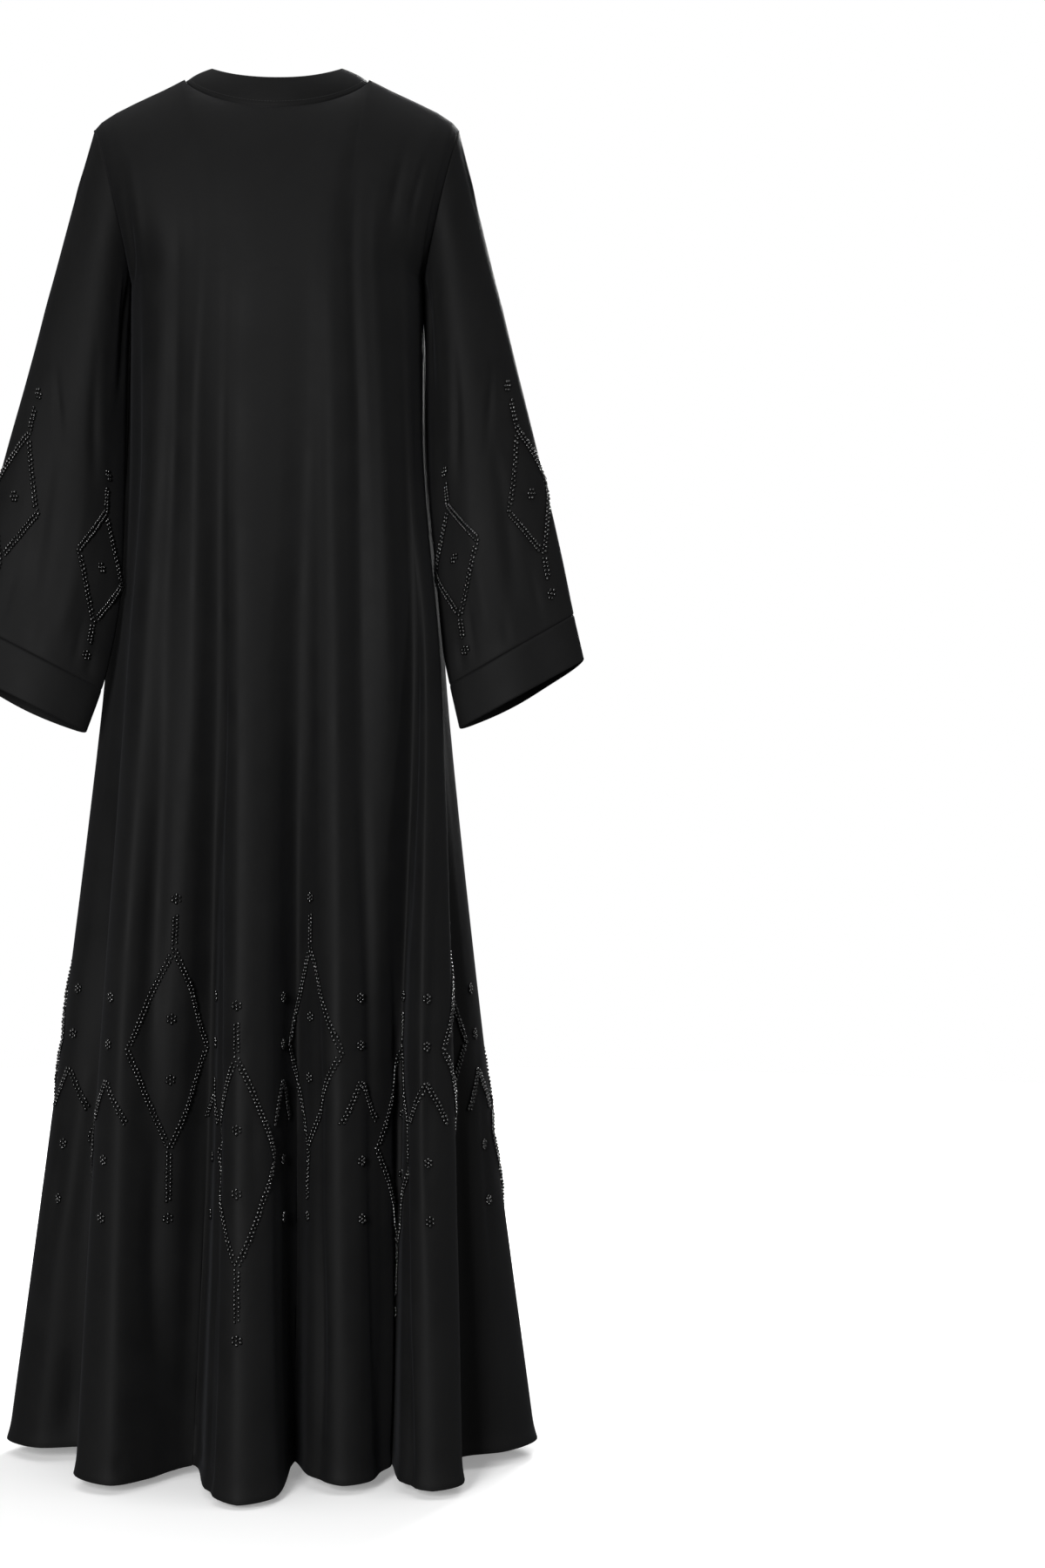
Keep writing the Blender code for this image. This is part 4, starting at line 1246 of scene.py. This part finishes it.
# %% Place the beads
def place_beads(name, middles, outs):
    """All the beads of one panel as one object. Their flat sides face out."""
    ball, ball_faces = bead_ball()
    points = []
    faces = []
    for middle, out in zip(middles, outs):
        radius = BEAD / 2 * chance.uniform(*BEAD_SIZES)
        turn = Vector(out).to_track_quat("Z", "Y").to_matrix()
        sunk = middle + out * radius * BEAD_SINK * BEAD_FLATNESS
        start = len(points) * len(ball)
        points.append(ball * radius @ np.array(turn).T + sunk)
        faces += [tuple(start + k for k in face) for face in ball_faces]
    made = make_mesh("beads_" + name, np.concatenate(points), faces, None)
    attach(made, "root")
    print(made.name, "holds", len(middles), "beads,", len(faces), "triangles")
    return made


skirt_names = ("front_left", "back", "front_right")
skirt_outs = np.concatenate(
    [normals[name][: SKIRT_ROWS + 1, 1 if k else 0 :] for k, name in enumerate(skirt_names)], axis=1
)
chain_points = read_grid(skirt_chain(), bead_places["skirt"])
chain_outs = unit(read_grid(skirt_outs, bead_places["skirt"]))
edges = np.cumsum([0] + [grids[name].shape[1] - 1 for name in skirt_names])
beads = {}
for name, start, end in zip(skirt_names, edges[:-1], edges[1:]):
    there = (bead_places["skirt"][:, 1] >= start) & (bead_places["skirt"][:, 1] < end)
    beads[name] = place_beads(name, chain_points[there], chain_outs[there])
for word in ("left", "right"):
    name = "sleeve_" + word
    points = read_grid(grids[name], bead_places[name], wrap=True)
    outs = unit(read_grid(normals[name], bead_places[name], wrap=True))
    beads[name] = place_beads(name, points, outs)

# %% [markdown]
# ## Edge stitching on the neck band
# One row of machine stitches holds the band's inner edge. Each stitch is its own short thread,
# pulled down at both ends, since a drawn line would not sit in the groove.

# %% One stitch
STITCH_PITCH = 3.0 * MM
STITCH_LENGTH = 2.3 * MM
STITCH_THICKNESS = 0.42 * MM
STITCH_SIDES = 6
# Rings of one stitch: share along it, then its lift and width, in thread thicknesses.
STITCH_RINGS = ((0, -0.6, 0.4), (0.25, 0.3, 0.95), (0.75, 0.3, 0.95), (1, -0.6, 0.4))


def stitch(start, end, out):
    """Points of one stitch: a bent thread, thick in the middle."""
    run = end - start
    side = unit(np.cross(run, out))
    points = []
    for share_along, lift, thick in STITCH_RINGS:
        middle = start + run * share_along + out * lift * STITCH_THICKNESS
        for k in range(STITCH_SIDES):
            turn = 2 * math.pi * k / STITCH_SIDES
            ray = side * math.cos(turn) + out * math.sin(turn)
            points.append(middle + ray * thick * STITCH_THICKNESS / 2)
    return points


def stitch_faces(start):
    faces = [tuple(start + k for k in range(STITCH_SIDES))[::-1]]
    last = len(STITCH_RINGS) - 1
    for ring in range(last):
        for k in range(STITCH_SIDES):
            n = (k + 1) % STITCH_SIDES
            low = start + ring * STITCH_SIDES
            faces.append((low + k, low + n, low + STITCH_SIDES + n, low + STITCH_SIDES + k))
    faces.append(tuple(start + last * STITCH_SIDES + k for k in range(STITCH_SIDES)))
    return faces


print("a stitch is", STITCH_LENGTH / MM, "mm long")


# %% Sew the band
def sew_band():
    grid = grids["neck_band"]
    row_numbers = np.arange(grid.shape[0])
    rows = [np.interp(STITCH_UP, heights, row_numbers) for heights in upwards["neck_band"].T]
    places = np.column_stack([rows, np.arange(grid.shape[1])])
    line = read_grid(grid, places)
    outs = read_grid(normals["neck_band"], places)
    along = np.pad(np.cumsum(np.linalg.norm(np.diff(line, axis=0), axis=1)), (1, 0))
    count = int(along[-1] / STITCH_PITCH)
    points = []
    faces = []
    for k in range(count):
        middle = (k + 0.5) * along[-1] / count
        ends = [middle - STITCH_LENGTH / 2, middle + STITCH_LENGTH / 2]
        start, end = [np.array([np.interp(e, along, line[:, axis]) for axis in range(3)]) for e in ends]
        out = unit(np.array([np.interp(middle, along, outs[:, axis]) for axis in range(3)]))
        faces += stitch_faces(len(points))
        points += stitch(start, end, out)
    made = make_mesh("stitches_neck_band", np.array(points), faces, None)
    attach(made, "root")
    print(made.name, "holds", count, "stitches")
    return made


stitches = sew_band()

# %% [markdown]
# ## Black crepe
# Crepe is woven from hard-twisted yarn, so its face is a fine dry pebble over a plain weave,
# with a low satin shine where the folds turn to the light. The pebble, the yarns and a slow
# unevenness are one group of nodes, measured in metres along the cloth, so they keep their size
# on every piece. The shine comes from the shader itself.

# %% Helpers for nodes
def add(tree, kind, **settings):
    """A node with its properties and, by name in capitals, its input values set."""
    node = tree.nodes.new(kind)
    for key, value in settings.items():
        if key[0].isupper():
            node.inputs[key.replace("_", " ")].default_value = value
        else:
            setattr(node, key, value)
    return node


def feed(tree, socket, value):
    """Sets a socket to a plain value, or links another node's output to it."""
    if isinstance(value, bpy.types.NodeSocket):
        tree.links.new(value, socket)
    else:
        socket.default_value = value


def maths(tree, operation, *values):
    node = add(tree, "ShaderNodeMath", operation=operation)
    for socket, value in zip(node.inputs, values):
        feed(tree, socket, value)
    return node.outputs[0]


def ranged(tree, value, low, high, to_low, to_high, smooth=False):
    """The value mapped from low and high to two others, and held there outside them."""
    node = add(tree, "ShaderNodeMapRange", From_Min=low, From_Max=high, To_Min=to_low, To_Max=to_high)
    if smooth:
        node.interpolation_type = "SMOOTHSTEP"
    feed(tree, node.inputs["Value"], value)
    return node.outputs[0]


def two_tone(tree, factor, first, second):
    """A colour between two."""
    node = add(tree, "ShaderNodeMix", data_type="RGBA")
    feed(tree, node.inputs["Factor"], factor)
    feed(tree, node.inputs[6], first)
    feed(tree, node.inputs[7], second)
    return node.outputs[2]


# %% Crepe nodes
YARN_PITCH = 0.46 * MM
YARN_SHARE = 0.35  # how much the yarns add to the pebble's height
PEBBLE = 0.95 * MM
PEBBLE_RANGE = (0.3, 0.75)  # the part of each noise that is used, from dark to light
UNEVENNESS = 60 * MM
UNEVEN_RANGE = (0.3, 0.7)
PEBBLE_SHADE = 0.6  # how much each of them shades the colour
UNEVEN_SHADE = 0.4
CREPE_ROUGHNESS = (0.58, 0.7)


def crepe_group():
    """Cloth lengths in, colour, roughness and height out."""
    group = bpy.data.node_groups.new("crepe_weave", "ShaderNodeTree")
    for name, kind in (("Lengths", "Vector"), ("Dark", "Color"), ("Light", "Color")):
        group.interface.new_socket(name, in_out="INPUT", socket_type="NodeSocket" + kind)
    for name, kind in (("Colour", "Color"), ("Roughness", "Float"), ("Height", "Float")):
        group.interface.new_socket(name, in_out="OUTPUT", socket_type="NodeSocket" + kind)
    entry = add(group, "NodeGroupInput")
    leave = add(group, "NodeGroupOutput")
    weaving = {"Scale": 2 * math.pi / (20 * YARN_PITCH), "Distortion": 1.5, "Detail_Scale": 1.0}
    warp = add(group, "ShaderNodeTexWave", bands_direction="X", **weaving)
    weft = add(group, "ShaderNodeTexWave", bands_direction="Y", **weaving)
    pebble = add(group, "ShaderNodeTexNoise", Scale=1 / PEBBLE, Detail=2.0, Roughness=0.6)
    slow = add(group, "ShaderNodeTexNoise", Scale=1 / UNEVENNESS, Detail=3.0, Roughness=0.55)
    for texture in (warp, weft, pebble, slow):
        feed(group, texture.inputs["Vector"], entry.outputs["Lengths"])
    yarns = maths(group, "MAXIMUM", warp.outputs["Fac"], weft.outputs["Fac"])
    height = maths(group, "ADD", maths(group, "MULTIPLY", yarns, YARN_SHARE), pebble.outputs["Fac"])
    shade = ranged(group, pebble.outputs["Fac"], *PEBBLE_RANGE, 0.0, 1.0)
    drift = ranged(group, slow.outputs["Fac"], *UNEVEN_RANGE, 0.0, 1.0)
    slow_shade = maths(group, "MULTIPLY", drift, UNEVEN_SHADE)
    mixed = maths(group, "MULTIPLY_ADD", shade, PEBBLE_SHADE, slow_shade)
    colour = two_tone(group, mixed, entry.outputs["Dark"], entry.outputs["Light"])
    feed(group, leave.inputs["Colour"], colour)
    feed(group, leave.inputs["Roughness"], ranged(group, drift, 0.0, 1.0, *CREPE_ROUGHNESS))
    feed(group, leave.inputs["Height"], height)
    return group


CREPE = crepe_group()
print("crepe group:", len(CREPE.nodes), "nodes")


# %% Crepe on the cloth
CREPE_DARK = (0.005, 0.005, 0.0051, 1)
CREPE_LIGHT = (0.009, 0.009, 0.0091, 1)
CREPE_SHEEN = (0.8, 0.82, 0.9, 1)
CREPE_RELIEF = 0.12 * MM


def new_material(name, **looks):
    """A material, its nodes, and its shader with plain values set by their names."""
    material = bpy.data.materials.new(name)
    material.use_nodes = True
    tree = material.node_tree
    shader = tree.nodes["Principled BSDF"]
    for key, value in looks.items():
        shader.inputs[key.replace("_", " ")].default_value = value
    return material, tree, shader


def dress(tree, shader, colour, roughness, height, strength, depth):
    """Gives a shader its colour and roughness, and its fine relief as a bump."""
    bump = add(tree, "ShaderNodeBump", Strength=strength, Distance=depth)
    feed(tree, bump.inputs["Height"], height)
    feed(tree, shader.inputs["Base Color"], colour)
    feed(tree, shader.inputs["Roughness"], roughness)
    feed(tree, shader.inputs["Normal"], bump.outputs["Normal"])


def crepe_material():
    material, tree, shader = new_material(
        "black_crepe_cloth",
        Specular_IOR_Level=0.08,
        Sheen_Weight=0.02,
        Sheen_Roughness=0.45,
        Sheen_Tint=CREPE_SHEEN,
    )
    lengths = add(tree, "ShaderNodeUVMap", uv_map="cloth_lengths")
    weave = add(tree, "ShaderNodeGroup", node_tree=CREPE, Dark=CREPE_DARK, Light=CREPE_LIGHT)
    feed(tree, weave.inputs["Lengths"], lengths.outputs["UV"])
    colour, roughness, height = weave.outputs
    dress(tree, shader, colour, roughness, height, 0.6, CREPE_RELIEF)
    return material


crepe = crepe_material()
for piece in cloth.values():
    piece.data.materials.append(crepe)
print("crepe on", len(cloth), "pieces")

# %% [markdown]
# ## Black thread
# Sewing thread is twisted, so its light runs in fine slanting ridges, and it shines a little
# more than the crepe it lies on. A plain black would do from afar, but close by the slanting
# ridges are what tells thread from wire, and one wave texture gives them: as a bump, and as a
# painted highlight that makes the colour lighter on each ridge's top.

# %% Thread on the stitches
THREAD_PITCH = 0.3 * MM
THREAD_RELIEF = 0.08 * MM
# The thread's colour runs from its own black in the grooves to a painted highlight on the ridge tops.
THREAD_DARK = (0.012, 0.012, 0.012, 1)
THREAD_PAINTED_HIGHLIGHT = (0.026, 0.026, 0.027, 1)
THREAD_ROUGHNESS = (0.35, 0.55)


def thread_material():
    """Twisted thread: fine slanting ridges with a painted highlight on top, a little shinier than the
    crepe.
    """
    material, tree, shader = new_material("black_thread", Specular_IOR_Level=0.4)
    place = add(tree, "ShaderNodeTexCoord")
    wave_scale = 2 * math.pi / (20 * THREAD_PITCH)
    twist = add(tree, "ShaderNodeTexWave", bands_direction="DIAGONAL", Scale=wave_scale)
    feed(tree, twist.inputs["Vector"], place.outputs["Object"])
    ridge = twist.outputs["Fac"]
    # Painted highlight: the colour is lighter on the tops of the twist ridges, where light would catch
    # them.
    tone = two_tone(tree, ridge, THREAD_DARK, THREAD_PAINTED_HIGHLIGHT)
    rough = ranged(tree, ridge, 0.0, 1.0, *THREAD_ROUGHNESS)
    dress(tree, shader, tone, rough, ridge, 0.5, THREAD_RELIEF)
    return material


stitches.data.materials.append(thread_material())
print("materials:", crepe.name, "and", stitches.data.materials[0].name)

# %% [markdown]
# ## Jet beads
# Pressed black glass is almost a mirror, with tiny mould marks that keep two beads from
# shining alike. A slow noise over the whole piece shifts the roughness and the lustre from bead
# to bead, and a finer one dimples the glass.

# %% Bead glass
BEAD_DIMPLE = 1.2 * MM
BEAD_DIMPLE_DEPTH = 0.12 * MM
BEAD_DRIFT = 3.6 * MM
GLASS_DARK = (0.0015, 0.0015, 0.0015, 1)
GLASS_LIGHT = (0.004, 0.004, 0.0042, 1)
GLASS_ROUGHNESS = (0.26, 0.12)


def glass_material():
    material, tree, shader = new_material("black_glass", IOR=1.7, Coat_Roughness=0.03)
    place = add(tree, "ShaderNodeTexCoord")
    dimples = add(tree, "ShaderNodeTexNoise", Scale=1 / BEAD_DIMPLE, Detail=1.0)
    slow = add(tree, "ShaderNodeTexNoise", Scale=1 / BEAD_DRIFT, Detail=1.0)
    for texture in (dimples, slow):
        feed(tree, texture.inputs["Vector"], place.outputs["Object"])
    drift = slow.outputs["Fac"]
    tone = two_tone(tree, drift, GLASS_DARK, GLASS_LIGHT)
    rough = ranged(tree, drift, 0.35, 0.65, *GLASS_ROUGHNESS)
    feed(tree, shader.inputs["Coat Weight"], ranged(tree, drift, 0.5, 0.62, 0.0, 1.0))
    dress(tree, shader, tone, rough, dimples.outputs["Fac"], 0.4, BEAD_DIMPLE_DEPTH)
    return material


glass = glass_material()
for strand in beads.values():
    strand.data.materials.append(glass)
print("bead pieces:", len(beads))

# %% [markdown]
# ## The cut of each sheet
# What each piece was cut to follows from its own lengths: its width along the cloth, all round
# on a tube, its length, and the area between them, with no allowance for seams.


def cut_of(name):
    """(width, length) and area of a piece laid flat, in metres."""
    grid = grids[name]
    if name in TUBES:
        grid = np.concatenate([grid, grid[:, :1]], axis=1)
    wide = float(along_rows(grid)[:, -1].max())
    long = float(up_columns(grid)[-1].max())
    over = np.diff(grid, axis=1)
    up = np.diff(grid, axis=0)
    cells = np.cross(over[:-1], up[:, :-1])
    area = float(np.linalg.norm(cells, axis=2).sum())
    return (wide, long), min(area, wide * long)


for name, piece in cloth.items():
    flat, area = cut_of(name)
    going_along = [beads[name]] if name in beads else []
    going_along += [stitches] if name == "neck_band" else []
    print(name, "cut", [round(side, 3) for side in flat], "m,", round(area, 3), "m2")

# %% [markdown]
# ## Floor and light
# The cloak stands over a plain white floor that runs out into white. Black cloth shows its form
# by the light that slides along its folds, so the room is dim all round and bright only
# overhead. A soft lamp left of the camera lights one side of each fold, a weak one on the right
# keeps the other side from going out, and a third lights the front of the cloak, which is turned
# away. The floor glows by itself, more and more outwards, so that its edge can't be told from
# the room.

# %% Floor
FLOOR_GAP = 6 * MM
FLOOR_RADIUS = 4.0
FLOOR_GLOW = 0.25  # at the middle, rising to 1 between the two reaches, in metres
FLOOR_GLOW_FROM = 0.45
FLOOR_GLOW_TO = 1.3
FLOOR_SEEN = (0.93, 0.93, 0.93, 1)
FLOOR_MIRRORED = (0.12, 0.12, 0.12, 1)  # dim, so that it hardly lights the cloth from below


def pale_floor():
    lowest = min(float(grid[..., 2].min()) for grid in grids.values())
    bpy.ops.mesh.primitive_circle_add(vertices=96, radius=FLOOR_RADIUS, fill_type="NGON")
    floor = bpy.context.object
    floor.name = "floor"
    floor.location = (0, 0, lowest - FLOOR_GAP)
    material, tree, shader = new_material(
        "white_floor", Specular_IOR_Level=0.1, Roughness=0.7, Emission_Color=(1, 1, 1, 1)
    )
    seen = add(tree, "ShaderNodeLightPath").outputs["Is Camera Ray"]
    feed(tree, shader.inputs["Base Color"], two_tone(tree, seen, FLOOR_MIRRORED, FLOOR_SEEN))
    place = add(tree, "ShaderNodeTexCoord")
    reach = add(tree, "ShaderNodeVectorMath", operation="LENGTH")
    feed(tree, reach.inputs[0], place.outputs["Object"])
    far = reach.outputs["Value"]
    outward = ranged(tree, far, FLOOR_GLOW_FROM, FLOOR_GLOW_TO, FLOOR_GLOW, 1.0, smooth=True)
    feed(tree, shader.inputs["Emission Strength"], maths(tree, "MULTIPLY", seen, outward))
    floor.data.materials.append(material)
    return floor


floor = pale_floor()
print("floor at", round(floor.location.z, 3), "m")

# %% Light of the room
ROOM_FRONT = 0.04
ROOM_BACK = 0.12
ROOM_TOP = 1.2
ROOM_TURN = (-0.2, 0.5)  # from front to back, as a share of the way there
ROOM_RISE = (0.62, 0.95)  # where overhead starts, and where it is brightest


def room_light():
    """White to the eye, but as a source dim all round and bright only overhead."""
    world = bpy.data.worlds.new("studio")
    world.use_nodes = True
    bpy.context.scene.world = world
    tree = world.node_tree
    tree.nodes.clear()
    place = add(tree, "ShaderNodeTexCoord")
    split = add(tree, "ShaderNodeSeparateXYZ")
    feed(tree, split.inputs[0], place.outputs["Generated"])
    behind = ranged(tree, split.outputs["Y"], *ROOM_TURN, ROOM_FRONT, ROOM_BACK, smooth=True)
    above = ranged(tree, split.outputs["Z"], *ROOM_RISE, 0.0, ROOM_TOP, smooth=True)
    path = add(tree, "ShaderNodeLightPath")
    seen = add(tree, "ShaderNodeMix", data_type="FLOAT", B=1.0)
    feed(tree, seen.inputs["Factor"], path.outputs["Is Camera Ray"])
    feed(tree, seen.inputs["A"], maths(tree, "ADD", behind, above))
    background = add(tree, "ShaderNodeBackground", Color=(1, 1, 1, 1))
    feed(tree, background.inputs["Strength"], seen.outputs[0])
    leave = add(tree, "ShaderNodeOutputWorld")
    feed(tree, leave.inputs["Surface"], background.outputs[0])


room_light()
print("room light:", ROOM_FRONT, "in front,", ROOM_BACK, "behind,", ROOM_TOP, "more overhead")

# %% Lamps
LAMPS_AIM = (0, 0, -0.7)
# Columns: name, place in metres (right, away from the camera, up), size in metres, watts.
LAMPS = (
    ("key_lamp", (-0.98, -3.42, -0.14), (0.7, 1.2), 132),
    ("fill_lamp", (3.46, -0.93, -0.39), (0.6, 1.0), 12),
    ("front_lamp", (1.12, 3.09, 0.76), (1.2, 1.6), 110),
)


def soft_lamp(name, place, size, power):
    """A rectangular area lamp at a place, turned to the middle of the cloak."""
    data = bpy.data.lights.new(name, "AREA")
    data.shape = "RECTANGLE"
    data.size, data.size_y = size
    data.energy = power
    lamp = bpy.data.objects.new(name, data)
    lamp.location = place
    lamp.rotation_euler = (Vector(LAMPS_AIM) - Vector(place)).to_track_quat("-Z", "Y").to_euler()
    bpy.context.scene.collection.objects.link(lamp)


for lamp in LAMPS:
    soft_lamp(*lamp)
bpy.context.scene.view_settings.view_transform = "Standard"
bpy.context.scene.view_settings.look = "None"
print("lamps:", [lamp[0] for lamp in LAMPS])
